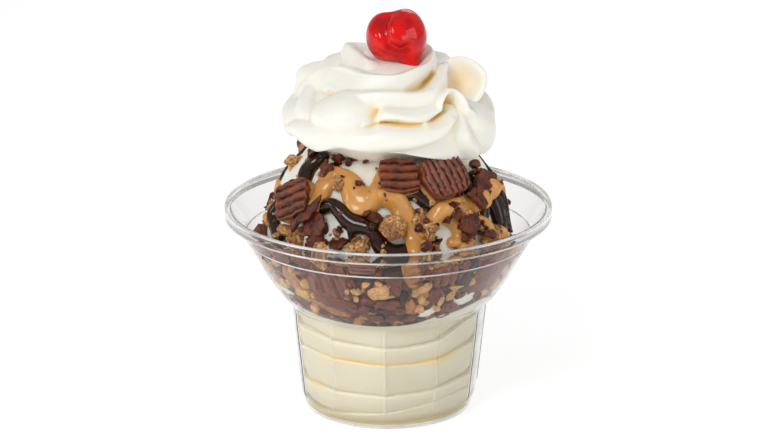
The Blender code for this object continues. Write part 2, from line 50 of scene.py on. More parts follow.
rise = math.radians(VIEW_ELEVATION)
toward_camera = Vector((0.0, -math.cos(rise), math.sin(rise)))
camera = bpy.data.objects.new("camera", bpy.data.cameras.new("camera"))
camera.data.sensor_width = SENSOR_WIDTH
camera.data.lens = SENSOR_WIDTH * VIEW_DISTANCE / VIEW_WIDTH
camera.location = (Vector(AIM) + toward_camera * VIEW_DISTANCE) * MM
camera.rotation_euler = toward_camera.to_track_quat("Z", "Y").to_euler()
bpy.context.scene.collection.objects.link(camera)
bpy.context.scene.camera = camera

# ------------------------------------------------------------------ clear dish
# A deli dish drawn from thin clear plastic sheet: a raised floor inside a standing ring, eleven
# flat flutes up to a shoulder, a plain bowl, a ledge, a flared wall and a rim turned down.
WALL = 0.6
FLOOR = 2.4                   # middle of the raised floor's wall
DISH_HEIGHT = 72.0
RIM_RADIUS = 56.0
FLUTES = 11
SEAM_AZIMUTH = -2.5           # one corner between two flutes
FLUTE_FLATNESS = 0.5          # 0 is round, 1 is a true eleven-sided wall
FLUTE_FOOT = (4.8, 1.8)       # where the flutes start, and over what height they set in
FLUTE_SHOULDER = (39.4, 2.4)  # where they end, and over what height they die out
SEAM_RIB = 0.22               # the corner between two flutes stands out as a fine rib
SEAM_RIB_WIDTH = 0.9
DISH_COLUMNS = 26 * FLUTES
CORNER_STEPS = 7

# middle of the wall from the floor's centre outwards, and how softly each corner is drawn
dish_line = np.array([
    (0.0, FLOOR), (23.6, FLOOR), (26.3, 0.9), (26.9, 0.3), (28.4, 0.3), (29.9, 4.8),
    (30.7, 6.6), (33.4, 32.0), (33.75, 37.3), (34.9, 39.6), (37.4, 42.2), (41.6, 48.4),
    (46.2, 56.9), (47.3, 58.9), (53.3, 70.0), (54.2, DISH_HEIGHT - WALL / 2),
    (RIM_RADIUS - WALL / 2, DISH_HEIGHT - WALL / 2), (RIM_RADIUS - WALL / 2, 68.6)])
dish_softness = np.array([1.6, 0.8, 0.4, 0.7, 0.9, 1.0, 6.0, 2.0, 1.2, 1.8, 5.0, 0.8, 0.7, 0.8,
                          0.5, 0.5])


def rounded(line, softness):
    """The line with each corner drawn as a parabola tangent to its two sides. The curve starts
    its softness before the corner, or under half of the shorter side."""
    corner = line[1:-1]
    back, ahead = line[:-2] - corner, line[2:] - corner
    back_length = np.linalg.norm(back, axis=1)
    ahead_length = np.linalg.norm(ahead, axis=1)
    reach = np.minimum(softness, 0.48 * np.minimum(back_length, ahead_length))
    start = corner + back * (reach / back_length)[:, None]
    end = corner + ahead * (reach / ahead_length)[:, None]
    t = np.linspace(0, 1, CORNER_STEPS)[None, :, None]
    curve = (1 - t) ** 2 * start[:, None] + 2 * t * (1 - t) * corner[:, None] + t ** 2 * end[:, None]
    return np.vstack([line[:1], curve.reshape(-1, 2), line[-1:]])


def wall_sides(line, thickness):
    """The line moved half a thickness to each side, square to itself: (outside, inside)."""
    run = np.gradient(line, axis=0)
    run /= np.linalg.norm(run, axis=1)[:, None]
    square = np.stack([run[:, 1], -run[:, 0]], -1)
    return line + square * thickness / 2, line - square * thickness / 2


def around(radius, height, azimuth):
    """Points from radius, height and azimuth: (r sin a, -r cos a, z), so azimuth 0 is in front."""
    radius, height, turn = np.broadcast_arrays(radius, height, np.radians(azimuth))
    return np.stack([radius * np.sin(turn), -radius * np.cos(turn), height], -1)


def ease(share):
    """A soft step: 0 below 0, 1 above 1, and 3s^2 - 2s^3 between."""
    share = np.clip(share, 0, 1)
    return share * share * (3 - 2 * share)


def flute_factor(height, azimuth):
    """How far the fluted wall lies inside its round radius. Across a flute it is
    cos(half) / cos(turn), the chord of a circle, with a fine rib where two flutes meet."""
    half = 180.0 / FLUTES
    turn = (azimuth - SEAM_AZIMUTH) % (2 * half) - half
    chord = math.cos(math.radians(half)) / np.cos(np.radians(turn))
    foot = ease((height - FLUTE_FOOT[0]) / FLUTE_FOOT[1])
    shoulder = ease((FLUTE_SHOULDER[0] - height) / FLUTE_SHOULDER[1])
    rib = SEAM_RIB / 32.0 * np.exp(-((half - np.abs(turn)) / SEAM_RIB_WIDTH) ** 2)
    return 1 - (FLUTE_FLATNESS * (1 - chord) - rib) * foot * shoulder


def closed_surface(grid):
    """Points and faces of a grid that closes round its columns and has a pole at each end."""
    rows, columns = grid.shape[:2]
    points = np.vstack([grid[:1, 0], grid[1:-1].reshape(-1, 3), grid[-1:, 0]])
    ring = np.arange(columns)
    after = (ring + 1) % columns
    low = 1 + columns * np.arange(rows - 3)[:, None]
    quads = np.stack([low + ring, low + after, low + columns + after, low + columns + ring], -1)
    foot = np.stack([0 * ring, 1 + after, 1 + ring], -1)
    top = 1 + (rows - 3) * columns
    crown = np.stack([0 * ring + len(points) - 1, top + ring, top + after], -1)
    return points, quads.reshape(-1, 4).tolist() + foot.tolist() + crown.tolist()


def new_piece(name, points, faces, finish, slot, nodes=(), crisp=180, **shades):
    """One smooth object in place of the named CAD nodes, with edges sharper than crisp degrees
    left crisp. A shade is a number for each point, kept as an attribute for the finish."""
    mesh = bpy.data.meshes.new(name)
    mesh.from_pydata((np.asarray(points) * MM).tolist(), [], faces)
    mesh.shade_smooth()
    mesh.set_sharp_from_angle(angle=math.radians(crisp))
    mesh.materials.append(finish)
    for shade, values in shades.items():
        mesh.attributes.new(shade, "FLOAT", "POINT").data.foreach_set("value", np.ravel(values))
    piece = bpy.data.objects.new(name, mesh)
    bpy.context.scene.collection.objects.link(piece)
    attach(piece, "root")
    if nodes:
        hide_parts(*nodes)
    return piece


class Wire:
    """A socket of a material's nodes. Sums on it add Math nodes, and node() adds any other."""

    def __init__(self, tree, socket=None):
        self.tree = tree
        self.socket = socket

    def node(self, kind, settings, sockets, output=0):
        """Adds a node: its settings first, then a value or a wire for each of its sockets."""
        made = self.tree.nodes.new(kind)
        for setting, value in settings.items():
            if setting == "stops":
                for stop, (place, shade) in zip(made.color_ramp.elements, value):
                    stop.position, stop.color = place, (shade, shade, shade, 1.0)
            else:
                setattr(made, setting, value)
        for name, value in sockets.items():
            if isinstance(value, Wire):
                self.tree.links.new(value.socket, made.inputs[name])
            else:
                made.inputs[name].default_value = value
        return Wire(self.tree, made.outputs[output]) if made.outputs else None

    def sum(self, operation, first, second):
        return self.node("ShaderNodeMath", {"operation": operation}, {0: first, 1: second})

    def __add__(self, other):
        return self.sum("ADD", self, other)

    def __sub__(self, other):
        return self.sum("SUBTRACT", self, other)

    def __rsub__(self, other):
        return self.sum("SUBTRACT", other, self)

    def __mul__(self, other):
        return self.sum("MULTIPLY", self, other)

    def __pow__(self, other):
        return self.sum("POWER", self, other)

    __radd__ = __add__
    __rmul__ = __mul__

    def between(self, low, high):
        """0 where the wire is under low, 1 where it is over high, and soft between."""
        return self.node("ShaderNodeMapRange", {"interpolation_type": "SMOOTHSTEP"},
                         {"Value": self, "From Min": low, "From Max": high})

    def mix(self, first, second):
        """The first colour where the wire is 0 and the second where it is 1."""
        return self.node("ShaderNodeMix", {"data_type": "RGBA"}, {0: self, 6: first, 7: second}, 2)

    def noise(self, size, detail=2.0, warp=0.0):
        """Soft noise whose lumps are about size millimetres across, read at this place."""
        return self.node("ShaderNodeTexNoise", {}, {"Vector": self, "Scale": 1 / (size * MM),
                                                    "Detail": detail, "Distortion": warp})

    def shade(self, name):
        """The number that the piece keeps for each point under a name."""
        return self.node("ShaderNodeAttribute", {"attribute_name": name}, {}, "Fac")

    def bump(self, height, strength, distance):
        """A surface normal raised by a height, over a distance in millimetres."""
        return self.node("ShaderNodeBump", {}, {"Strength": strength, "Distance": distance * MM,
                                                "Height": height})


def new_finish(name):
    """An empty material, and the wire of object coordinates that its patterns start from."""
    finish = bpy.data.materials.new(name)
    finish.use_nodes = True
    finish.node_tree.nodes.clear()
    return finish, Wire(finish.node_tree).node("ShaderNodeTexCoord", {}, {}, "Object")


def colour(red, green, blue):
    """A colour from how it looks on a screen (0 to 255) to the light that a shader wants."""
    return (*(((value / 255 + 0.055) / 1.055) ** 2.4 for value in (red, green, blue)), 1.0)


def close_finish(place, sockets):
    """Ends a material with one Principled shader."""
    surface = place.node("ShaderNodeBsdfPrincipled", {}, sockets)
    place.node("ShaderNodeOutputMaterial", {}, {"Surface": surface})


clear_plastic, place = new_finish("clear_plastic")
draw_lines = place.noise(9.0, 1.0)
plastic = place.node("ShaderNodeBsdfPrincipled", {}, {
    "Base Color": (0.87, 0.862, 0.85, 1.0), "Roughness": 0.03, "IOR": 1.24,
    "Transmission Weight": 1.0, "Normal": place.bump(draw_lines, 0.12, 0.6)})
unseen = place.node("ShaderNodeBsdfTransparent", {}, {"Color": (0.96, 0.96, 0.955, 1.0)})
shadow = place.node("ShaderNodeLightPath", {}, {}, "Is Shadow Ray")
passing = place.node("ShaderNodeMixShader", {}, {0: shadow, 1: plastic, 2: unseen})
place.node("ShaderNodeOutputMaterial", {}, {"Surface": passing})

dish_turns = SEAM_AZIMUTH + np.arange(DISH_COLUMNS) * 360.0 / DISH_COLUMNS
drawn_line = rounded(dish_line, dish_softness)
dish_outside, dish_inside = wall_sides(drawn_line, WALL)
outline = np.vstack([dish_outside, dish_inside[::-1]])
outline[[0, -1], 0] = 0.0
radius, height = outline[:, :1], outline[:, 1:]
points, faces = closed_surface(around(radius * flute_factor(height, dish_turns), height, dish_turns))
new_piece("clear_dish", points, faces, clear_plastic, "clear_plastic", ["cup"])


def ring_bead(radius, height, thickness, columns=240, sides=10):
    """A closed ring of wire round the dish: radius + t cos b, height + t sin b."""
    turn = np.arange(columns) * 360.0 / columns
    spin = np.arange(sides)[:, None] * 2 * math.pi / sides
    points = around(radius + thickness * np.cos(spin), height + thickness * np.sin(spin), turn)
    number = np.arange(sides * columns).reshape(sides, columns)
    after, above = np.roll(number, -1, axis=1), np.roll(number, -1, axis=0)
    faces = np.stack([number, after, np.roll(after, -1, axis=0), above], -1)
    return points.reshape(-1, 3), faces.reshape(-1, 4).tolist(), np.zeros(number.size)


def joined(parts):
    """One mesh from many: points, faces with their numbers moved on, and the shades of each."""
    counts = np.cumsum([0] + [len(points) for points, faces, shade in parts])
    points = np.vstack([points for points, faces, shade in parts])
    faces = [tuple(corner + start for corner in face)
             for start, (_, faces, _) in zip(counts, parts) for face in faces]
    return points, faces, np.concatenate([shade for points, faces, shade in parts])


# the folds of the sheet are thicker, and their beads are drawn partly opaque white as a painted
# highlight for the bright lines that the folds reflect: radius, height, thickness
FOLDS = ((RIM_RADIUS - 0.3, DISH_HEIGHT - 0.1, 0.42), (RIM_RADIUS - 0.3, 68.7, 0.36), (49.2, 61.9, 0.3),
         (54.0, 71.5, 0.3), (26.9, 0.45, 0.35))
folded_edge, place = new_finish("folded_edge")
# painted highlight: the white shows in patches from noise, and more in a band on the left where a soft box reflects
glint = place.noise(16.0, 1.0).between(0.35, 0.7)
sideways = place.node("ShaderNodeSeparateXYZ", {}, {"Vector": place}, "X")
glint = glint + sideways.between(-44 * MM, -36 * MM) * (1 - sideways.between(-22 * MM, -14 * MM))
close_finish(place, {
    "Base Color": (0.9, 0.89, 0.88, 1.0), "Roughness": 0.16, "Alpha": glint * 0.4 + 0.22,
    "Specular IOR Level": 0.8, "Coat Weight": 0.6, "Coat Roughness": 0.05})
# thin rods of the same painted-highlight finish mark the corners between the flutes
seam_parts = []
for turn in SEAM_AZIMUTH + np.arange(FLUTES) * 360.0 / FLUTES:
    level = np.linspace(6.5, FLUTE_SHOULDER[0] - 0.5, 40)[:, None]
    spin = np.radians(np.arange(0, 360, 45))
    thick = 0.09 * np.sqrt(np.clip(np.minimum(level - 6.5, 38.9 - level) / 3.0, 0.01, 1))
    radius = np.interp(level, dish_line[5:, 1], dish_line[5:, 0]) * flute_factor(level, turn) + WALL / 2
    rod = around(radius + thick * np.cos(spin), level, turn + np.degrees(thick * np.sin(spin) / radius))
    points, faces = closed_surface(rod)
    seam_parts.append((points, faces, np.zeros(len(points))))
points, faces, shade = joined([ring_bead(*fold) for fold in FOLDS] + seam_parts)
new_piece("dish_folds", points, faces, folded_edge, "clear_plastic")

# ------------------------------------------------------------------ lower ice cream
# Vanilla soft serve run into the dish in one climbing coil. It is pressed flat against the wall,
# where each turn keeps a rounded side and a crease stays open between it and the next.
PRESSED_IN = 0.12             # the food reaches this far into the wall, so that no gap shows
COIL_DEPTH = 1.9              # how far each turn's underside draws back from the wall
COIL_UNDERSIDE = 0.6          # over what share of the turn it does so
COIL_LIP = 0.2                # the turn's upper edge rolls back under the next
LAYER_MIDDLE = 45.0           # underside of the chopped layer on the axis
BASE_COLUMNS = 300
BASE_ROWS = 150
lowest = int(np.argmin(dish_inside[:, 1]))
highest = int(np.argmax(dish_inside[:, 1]))
inner_wall = dish_inside[lowest:highest]

# the one crease, which climbs turn after turn: (turned through, height)
coil_line = np.array([
    (-180, -2.0), (-50, 3.3), (-26, 5.2), (-2, 6.2), (27, 8.8), (47, 10.0), (180, 11.0),
    (295, 12.2), (332, 12.5), (355, 12.4), (386, 13.4), (415, 14.9), (540, 21.0), (654, 25.0),
    (690, 24.7), (720, 24.2), (752, 24.5), (777, 27.0), (900, 31.5), (1023, 32.5), (1051, 31.2),
    (1080, 30.2), (1111, 31.4), (1128, 36.0), (1260, 46.0)])
COIL_TURNS = 5


def inside_radius(height, azimuth):
    """Radius of the inside of the dish's wall at a height."""
    return np.interp(height, inner_wall[:, 1], inner_wall[:, 0]) * flute_factor(height, azimuth)


def bump(angle, centre, width):
    """A soft bump of height 1 at the centre that wraps round the circle."""
    away = (angle - centre + 180.0) % 360.0 - 180.0
    return np.exp(-0.5 * (away / width) ** 2)


def layer_edge(azimuth):
    """Height at the wall where the lower ice cream meets the chopped layer."""
    sides = 5.5 * bump(azimuth, 52, 13) + 3.0 * bump(azimuth, -66, 15) + 2.0 * bump(azimuth, 26, 7)
    back = 3.0 * bump(azimuth, 150, 22) + 2.0 * bump(azimuth, -140, 18)
    return 40.8 + sides + back - 0.8 * bump(azimuth, -8, 15)


def soft_line(angle, knots, softness):
    """The line through the knots, with its corners rounded off by averaging over a few degrees."""
    shifts = np.linspace(-softness, softness, 9)
    return np.mean(np.interp(angle[..., None] + shifts, knots[:, 0], knots[:, 1]), axis=-1)


def coil_shape(height, azimuth):
    """Depth of the coil's side behind the wall, and how near the crease below is (0 to 1). Share
    s runs from 0 at the crease below to 1 at the one above, and the depth falls as exp(-s^1.3)."""
    creases = np.stack([soft_line(azimuth + 360.0 * turn, coil_line, 12.0)
                        for turn in range(-1, COIL_TURNS)])
    below = np.max(np.where(creases <= height, creases, -9.0), axis=0)
    above = np.min(np.where(creases > height, creases, 60.0), axis=0)
    share = (height - below) / (above - below)
    size = np.clip((above - below) / 9.0, 0.5, 1.1)
    underside = np.exp(-(share / COIL_UNDERSIDE) ** 1.3)
    return size * (COIL_DEPTH * underside + COIL_LIP * share ** 5), np.exp(-share * 5.5)


def seat(share, centre_height, edge_height):
    """A dished surface: the centre's height on the axis, the edge's where share is 1."""
    return centre_height + (edge_height - centre_height) * share ** 2


turns = np.arange(BASE_COLUMNS) * 360.0 / BASE_COLUMNS - 180.0
edge = layer_edge(turns)
step = np.linspace(0, 1, BASE_ROWS)[:, None]
foot_height = 1.9
height = foot_height + (edge - foot_height) * step
turn_grid = np.broadcast_to(turns, height.shape)
depth, crease = coil_shape(height, turn_grid)
fade = ease(step / 0.03)
side = around(inside_radius(height, turn_grid) + PRESSED_IN - depth * fade, height, turn_grid)
base_floor = FLOOR + WALL / 2 - PRESSED_IN
floor_rows = np.stack([around(radius, base_floor + lift, turns)
                       for radius, lift in ((0, 0), (12, 0), (20, 0), (24.6, 0), (26.6, -0.4),
                                            (27.8, -0.8))])
seat_rows = np.stack([around(share * (inside_radius(edge, turns) - 1.0),
                             seat(share, LAYER_MIDDLE, edge), turns)
                      for share in (0.92, 0.72, 0.38, 0.0)])
points, faces = closed_surface(np.vstack([floor_rows, side, seat_rows]))
# painted glow: along some of the creases, a yellow tint stands in for light shining through the ice cream
warm_places = (0.8 * bump(turn_grid, -16, 20) * bump(height, 25.0, 0.7)
               + 0.8 * bump(turn_grid, 33, 10) * bump(height, 24.9, 0.9)
               + 0.6 * bump(turn_grid, -57, 5) * bump(height, 12.6, 0.8)
               + 0.8 * bump(turn_grid, 140, 30) * bump(height, 20, 2.0)
               + 0.8 * bump(turn_grid, -130, 30) * bump(height, 30, 2.0))
warm = np.zeros(len(points))
crease_shade = np.zeros(len(points))
first = 1 + (len(floor_rows) - 1) * BASE_COLUMNS
warm[first:first + side.shape[0] * BASE_COLUMNS] = np.clip(warm_places, 0, 1).ravel()
# painted shade: the lower ice cream is darkened all over, more in each crease and most near its foot
shaded = np.maximum(crease, 0.58 + 1.3 * np.exp(-(height - foot_height) / 2.6))
crease_shade[first:first + side.shape[0] * BASE_COLUMNS] = shaded.ravel()

vanilla, place = new_finish("vanilla_ice_cream")
tone = place.noise(14.0, 1.0).mix(colour(252, 249, 236), colour(246, 241, 222))
# painted shade: the crease attribute darkens the vanilla towards a dim olive
creased = (place.shade("crease") * 0.62).mix(tone, colour(192, 180, 138))
# painted glow: a yellow tint along some creases, from the attribute set above
sunny = place.shade("warm").mix(creased, colour(240, 210, 136))
grain = place.noise(0.5, 3.0) * 0.5 + place.noise(3.0, 2.0)
close_finish(place, {
    "Base Color": sunny, "Roughness": 0.42, "Subsurface Weight": 0.6,
    "Subsurface Radius": (1.0, 0.85, 0.6), "Subsurface Scale": 0.004,
    "Normal": place.bump(grain, 0.25, 0.35)})
new_piece("lower_ice_cream", points, faces, vanilla, "vanilla_ice_cream", ["ice_cream_base"],
          warm=warm, crease=crease_shade)

# ------------------------------------------------------------------ chopped layer
# Chopped candy packed between two layers of ice cream: broken chocolate shells, crumbs of peanut
# butter filling and runs of both sauces. What lies at the wall is pressed flat against it.
LAYER_TOP = 60.0              # seat of the upper ice cream
COLLAR_RISE = 1.8             # the layer stands up round the upper ice cream
HEAP_RADIUS = 41.6
CORE_BEHIND = 1.5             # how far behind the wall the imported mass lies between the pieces
CORE_COLUMNS = 300

wall_run = np.concatenate([[0], np.cumsum(np.hypot(*np.diff(inner_wall, axis=0).T))])
wall_slope = np.gradient(inner_wall[:, 0], inner_wall[:, 1])


def on_wall(across, up, depth, azimuth, height):
    """A flat patch bent onto the inside of the wall round one place: across runs round the dish,
    up along the wall and depth square to it, away from the plastic."""
    start = np.interp(height, inner_wall[:, 1], wall_run)
    level = np.interp(start + up, wall_run, inner_wall[:, 1])
    slope = np.interp(level, inner_wall[:, 1], wall_slope)
    tilt = np.sqrt(1 + slope ** 2)
    turn = azimuth + np.degrees(across / np.interp(level, inner_wall[:, 1], inner_wall[:, 0]))
    return around(inside_radius(level, turn) + PRESSED_IN - depth / tilt,
                  level + depth * slope / tilt, turn)


def collar_top(azimuth):
    """Height at the wall of the top of the chopped layer."""
    turn = np.radians(azimuth)
    lumps = 0.9 * np.sin(5 * turn + 0.6) + 0.6 * np.sin(9 * turn)
    return (59.2 + 0.7 * lumps + 1.2 * bump(azimuth, 0, 60) + 1.8 * bump(azimuth, -42, 20)
            + 1.4 * bump(azimuth, 40, 20) - 2.8 * (bump(azimuth, -98, 17) + bump(azimuth, 98, 17)))


def lumpy(height, azimuth, size):
    """Uneven lumps from 0 to 1, a product of waves of two lengths in each direction."""
    turn = np.radians(azimuth) * 44.0
    first = np.sin(turn / size + 1.7 * np.sin(height / size)) * np.sin(height / size + 0.6)
    second = np.sin(2.3 * turn / size + 2.0) * np.sin(2.7 * height / size + turn / size / 3)
    return 0.5 + 0.32 * first + 0.18 * second


turns = np.arange(CORE_COLUMNS) * 360.0 / CORE_COLUMNS - 180.0
edge = layer_edge(turns) - PRESSED_IN
crown = collar_top(turns)
under_rows = np.stack([around(share * (inside_radius(edge, turns) - 1.0),
                              seat(share, LAYER_MIDDLE - PRESSED_IN, edge), turns)
                       for share in (0.0, 0.4, 0.8, 0.97)])
step = np.linspace(0, 1, 60)[:, None]
height = edge + (crown - edge) * step
turn_grid = np.broadcast_to(turns, height.shape)
behind = CORE_BEHIND * (0.5 + lumpy(height, turn_grid, 1.6)) * ease(step / 0.05)
side = around(inside_radius(height, turn_grid) + PRESSED_IN - behind, height, turn_grid)
share = np.linspace(0, 1, 14)[1:, None]
radius = inside_radius(crown, turns) - 1.2 + (HEAP_RADIUS - 1.5 - inside_radius(crown, turns)) * share
turn_grid = np.broadcast_to(turns, radius.shape)
top = around(radius, crown + COLLAR_RISE * np.sin(share * math.pi / 2)
             + 0.9 * (lumpy(radius, turn_grid, 1.3) - 0.5), turn_grid)
seat_rows = np.stack([around(radius, LAYER_TOP, turns) for radius in (HEAP_RADIUS - 2.5, 20.0, 0.0)])
points, faces = closed_surface(np.vstack([under_rows, side, top, seat_rows]))

packed_candy, place = new_finish("packed_candy")
bits = place.node("ShaderNodeTexVoronoi", {}, {"Vector": place, "Scale": 1 / (2.6 * MM)}, "Color")
cell = place.node("ShaderNodeTexVoronoi", {}, {"Vector": place, "Scale": 1 / (2.6 * MM)}, "Distance")
kind = place.node("ShaderNodeSeparateColor", {}, {"Color": bits})
shell = kind.mix(colour(64, 34, 24), colour(116, 66, 48))
crumbled = kind.between(0.62, 0.7).mix(shell, colour(196, 140, 84))
wet = place.noise(6.0, 1.0).between(0.5, 0.62).mix(crumbled, colour(60, 32, 22))
close_finish(place, {
    "Base Color": wet, "Roughness": 0.4, "Subsurface Weight": 0.05, "Subsurface Scale": 0.002,
    "Normal": place.bump(cell, 0.6, 0.7)})
new_piece("packed_candy_core", points, faces, packed_candy, "chopped_pieces", ["chopped_layer"])


def slab(width, tall, thickness, ridges, seed, detail=22, taper=0.0, shell_share=0.3, ragged=1.0):
    """A broken piece of candy lying on its back, with z out of its face. The face is a grid with
    uneven broken edges and rounded ridges, |cos|, across it. Its border steps down in rings that
    wander in and out as a fracture does, to a flat back. The shade is 1 on the filling."""
    random = np.random.default_rng(seed)
    v, u = np.meshgrid(np.linspace(-1, 1, detail), np.linspace(-1, 1, detail), indexing="ij")
    knots = np.linspace(-1, 1, 8)
    jags = random.uniform(-1, 1, (4, 8))
    side_jag = np.where(u > 0, np.interp(v, knots, jags[0]), np.interp(v, knots, jags[1]))
    end_jag = np.where(v > 0, np.interp(u, knots, jags[2]), np.interp(u, knots, jags[3]))
    trim = 1 - 0.13 * (u * v) ** 2
    x = width / 2 * u * trim * (1 + 0.10 * ragged * side_jag) * (1 - taper * (v + 1) / 2)
    y = tall / 2 * v * trim * (1 + 0.08 * ragged * end_jag)
    bent = v + 0.03 * np.sin(3 * u + seed) + 0.012 * np.sin(11 * u)
    ridge = np.abs(np.cos(math.pi * ridges * (bent + 1) / 2)) ** 0.75 if ridges else 0.6 + 0 * v
    waves = random.uniform(0, 6, 4)
    scuffs = np.sin(5 * u + waves[0]) * np.sin(4 * v + waves[1]) + 0.5 * np.sin(11 * u + 9 * v + waves[2])
    dents = np.sin(17 * u + 3 * waves[3]) * np.sin(13 * v + waves[2])
    z = (thickness - 0.45 * (u ** 14 + v ** 14) + (1.35 * ridge - 0.5 if ridges else 0.2 * scuffs)
         + 0.08 * scuffs + 0.05 * dents)
    face = np.stack([x, y, z], -1)
    number = np.arange(detail ** 2).reshape(detail, detail)
    border = np.concatenate([number[0, :-1], number[:-1, -1], number[-1, :0:-1], number[:0:-1, 0]])
    rim = face.reshape(-1, 3)[border]
    levels = np.linspace(0, 1, 7)[1:, None]
    angle = np.linspace(0, 2 * math.pi, len(border), endpoint=False)
    wander = np.cumsum(random.uniform(-1, 1, (6, 24)), axis=0)
    wander = np.stack([np.interp(angle, np.linspace(0, 2 * math.pi, 24), row) for row in wander])
    shrink = 1 - 0.05 * levels - 0.035 * wander
    rings = np.stack([rim[None, :, 0] * shrink, rim[None, :, 1] * shrink,
                      rim[None, :, 2] * (1 - levels)], -1)
    points = np.vstack([face.reshape(-1, 3), rings.reshape(-1, 3), [[0, 0, 0]]])
    ring_number = np.vstack([border, len(border) * np.arange(6)[:, None] + detail ** 2 + np.arange(len(border))])
    after = np.roll(ring_number, -1, axis=1)
    quads = np.stack([number[:-1, :-1], number[:-1, 1:], number[1:, 1:], number[1:, :-1]], -1)
    walls = np.stack([ring_number[:-1], ring_number[1:], after[1:], after[:-1]], -1)
    back = np.stack([after[-1], ring_number[-1], 0 * border + len(points) - 1], -1)
    shade = np.zeros(len(points))
    shade[detail ** 2:-1] = np.repeat((levels[:, 0] > shell_share).astype(float), len(border))
    worn = np.zeros(len(points))
    # 1 on the ridge crests and near the face's edges, which the finish lightens: partly rubbed wear, partly painted
    # highlight
    worn[:detail ** 2] = (np.maximum(ridge, np.maximum(np.abs(u), np.abs(v)) ** 6) if ridges else u ** 6).ravel()
    faces = quads.reshape(-1, 4).tolist() + walls.reshape(-1, 4).tolist() + back.tolist()
    return points, faces, shade, worn


def nuggets(count, seed, rings=6, columns=8, cuts=9, roughness=0.0):
    """Shapes of small broken bits, one a row: a ball cut by flat planes, so that its radius in a
    direction is the nearest plane's offset / (direction . plane), and then roughened."""
    random = np.random.default_rng(seed)
    tilt = np.radians(np.linspace(-90, 90, rings))[:, None]
    turn = np.linspace(0, 2 * math.pi, columns, endpoint=False)
    grid = np.stack(np.broadcast_arrays(np.cos(tilt) * np.cos(turn), np.cos(tilt) * np.sin(turn),
                                        np.sin(tilt)), -1)
    directions, faces = closed_surface(grid)
    planes = random.normal(size=(count, cuts, 3))
    planes /= np.linalg.norm(planes, axis=2)[..., None]
    offsets = random.uniform(0.5, 0.85, (count, cuts, 1))
    facing = np.einsum("kcj,vj->kcv", planes, directions)
    reach = np.min(np.where(facing > 0.05, offsets / np.maximum(facing, 0.05), 1.25), axis=1)
    reach *= 1 + roughness * random.uniform(-1, 1, reach.shape)
    stretch = random.uniform(0.65, 1.25, (count, 1, 3))
    return reach[..., None] * directions * stretch, faces


def turned(count, random):
    """Random turns in space, as one 3 x 3 matrix for each (from the QR of random numbers)."""
    axes, upper = np.linalg.qr(random.normal(size=(count, 3, 3)))
    return axes * np.linalg.det(axes)[:, None, None]


milk_chocolate, place = new_finish("milk_chocolate")
bloom = place.noise(4.0, 3.0)
scuff = place.noise(0.35, 2.0)
shell = bloom.between(0.34, 0.66).mix(colour(66, 25, 14), colour(116, 54, 32))
shell = (scuff.between(0.58, 0.75) * 0.4).mix(shell, colour(166, 104, 74))
# ridge crests and edges are lightened: partly rubbed wear, partly painted highlight
rubbed = (place.shade("worn") ** 3) * (scuff * 0.8 + place.noise(1.2, 2.0) * 0.5)
shell = (rubbed * 0.6).mix(shell, colour(160, 98, 68))
crumb_tone = place.noise(0.8, 3.0).mix(colour(160, 98, 48), colour(216, 166, 104))
# painted reflection: pieces at the wall are lightened towards a hazy mauve, the veil of the plastic in front of them,
# more on the crests
shell = (place.shade("pressed") * (place.shade("worn") * 0.3 + 0.3)).mix(shell, colour(150, 102, 88))
bitten = place.shade("filling").mix(shell, crumb_tone)
close_finish(place, {
    "Base Color": bitten, "Roughness": bloom * 0.2 + 0.24 + place.shade("filling") * 0.3,
    "Specular IOR Level": 0.36, "Subsurface Weight": 0.12, "Subsurface Radius": (1.0, 0.5, 0.3), "Subsurface Scale": 0.0015,
    "Normal": place.bump(place.noise(0.7, 4.0), 0.3, 0.35)})

peanut_butter, place = new_finish("peanut_butter")
grainy = place.noise(0.9, 4.0)
toasted = grainy.between(0.35, 0.65).mix(colour(150, 90, 42), colour(226, 178, 118))
deeper = (place.noise(5.0, 2.0).between(0.42, 0.62) * 0.65).mix(toasted, colour(124, 72, 38))
# painted reflection: crumbs at the wall are lightened, the veil of the plastic in front of them
deeper = (place.shade("pressed") * 0.5).mix(deeper, colour(244, 200, 142))
speckled = place.noise(0.5, 2.0).between(0.6, 0.72).mix(deeper, colour(104, 52, 28))
close_finish(place, {
    "Base Color": speckled, "Roughness": 0.62, "Subsurface Weight": 0.25,
    "Subsurface Radius": (1.0, 0.6, 0.3), "Subsurface Scale": 0.002,
    "Normal": place.bump(grainy, 0.7, 0.6)})

# pieces that show at the front of the bowl: azimuth, height, width, tall, roll, ridges, taper
wall_shells = [
    (-26, 57.0, 15.5, 17.0, 94, 7, 0.0), (-25, 48.4, 17.0, 7.0, -24, 0, 0.2), (49, 56.0, 17.5, 19.0, -24, 0, 0.2),
    (31, 44.9, 11.0, 7.4, 28, 0, 0.6), (24, 60.0, 9.0, 12.0, 96, 4, 0.1), (2.4, 57.2, 5.0, 10.0, 0, 0, 0.0),
    (0, 48.8, 9.5, 5.4, 4, 0, 0.1), (-10, 63.8, 9.0, 5.0, 0, 3, 0.0), (22, 52.0, 5.5, 8.0, 30, 0, 0.2),
    (-47, 63.0, 9.0, 5.0, 20, 0, 0.2), (12, 64.8, 6.0, 5.0, 40, 0, 0.1), (71, 54.0, 11.0, 14.0, 10, 5, 0.0),
    (-72, 55.0, 9.0, 11.0, 60, 4, 0.2), (-6, 43.0, 5.0, 3.2, 10, 0, 0.1), (1.4, 43.0, 4.2, 3.0, 70, 0, 0.1),
    (-35, 64.0, 7.0, 4.4, -10, 0, 0.1), (-12, 46.4, 5.0, 4.0, 40, 0, 0.2), (-60, 62.0, 7.0, 4.0, 10, 0, 0.2)]
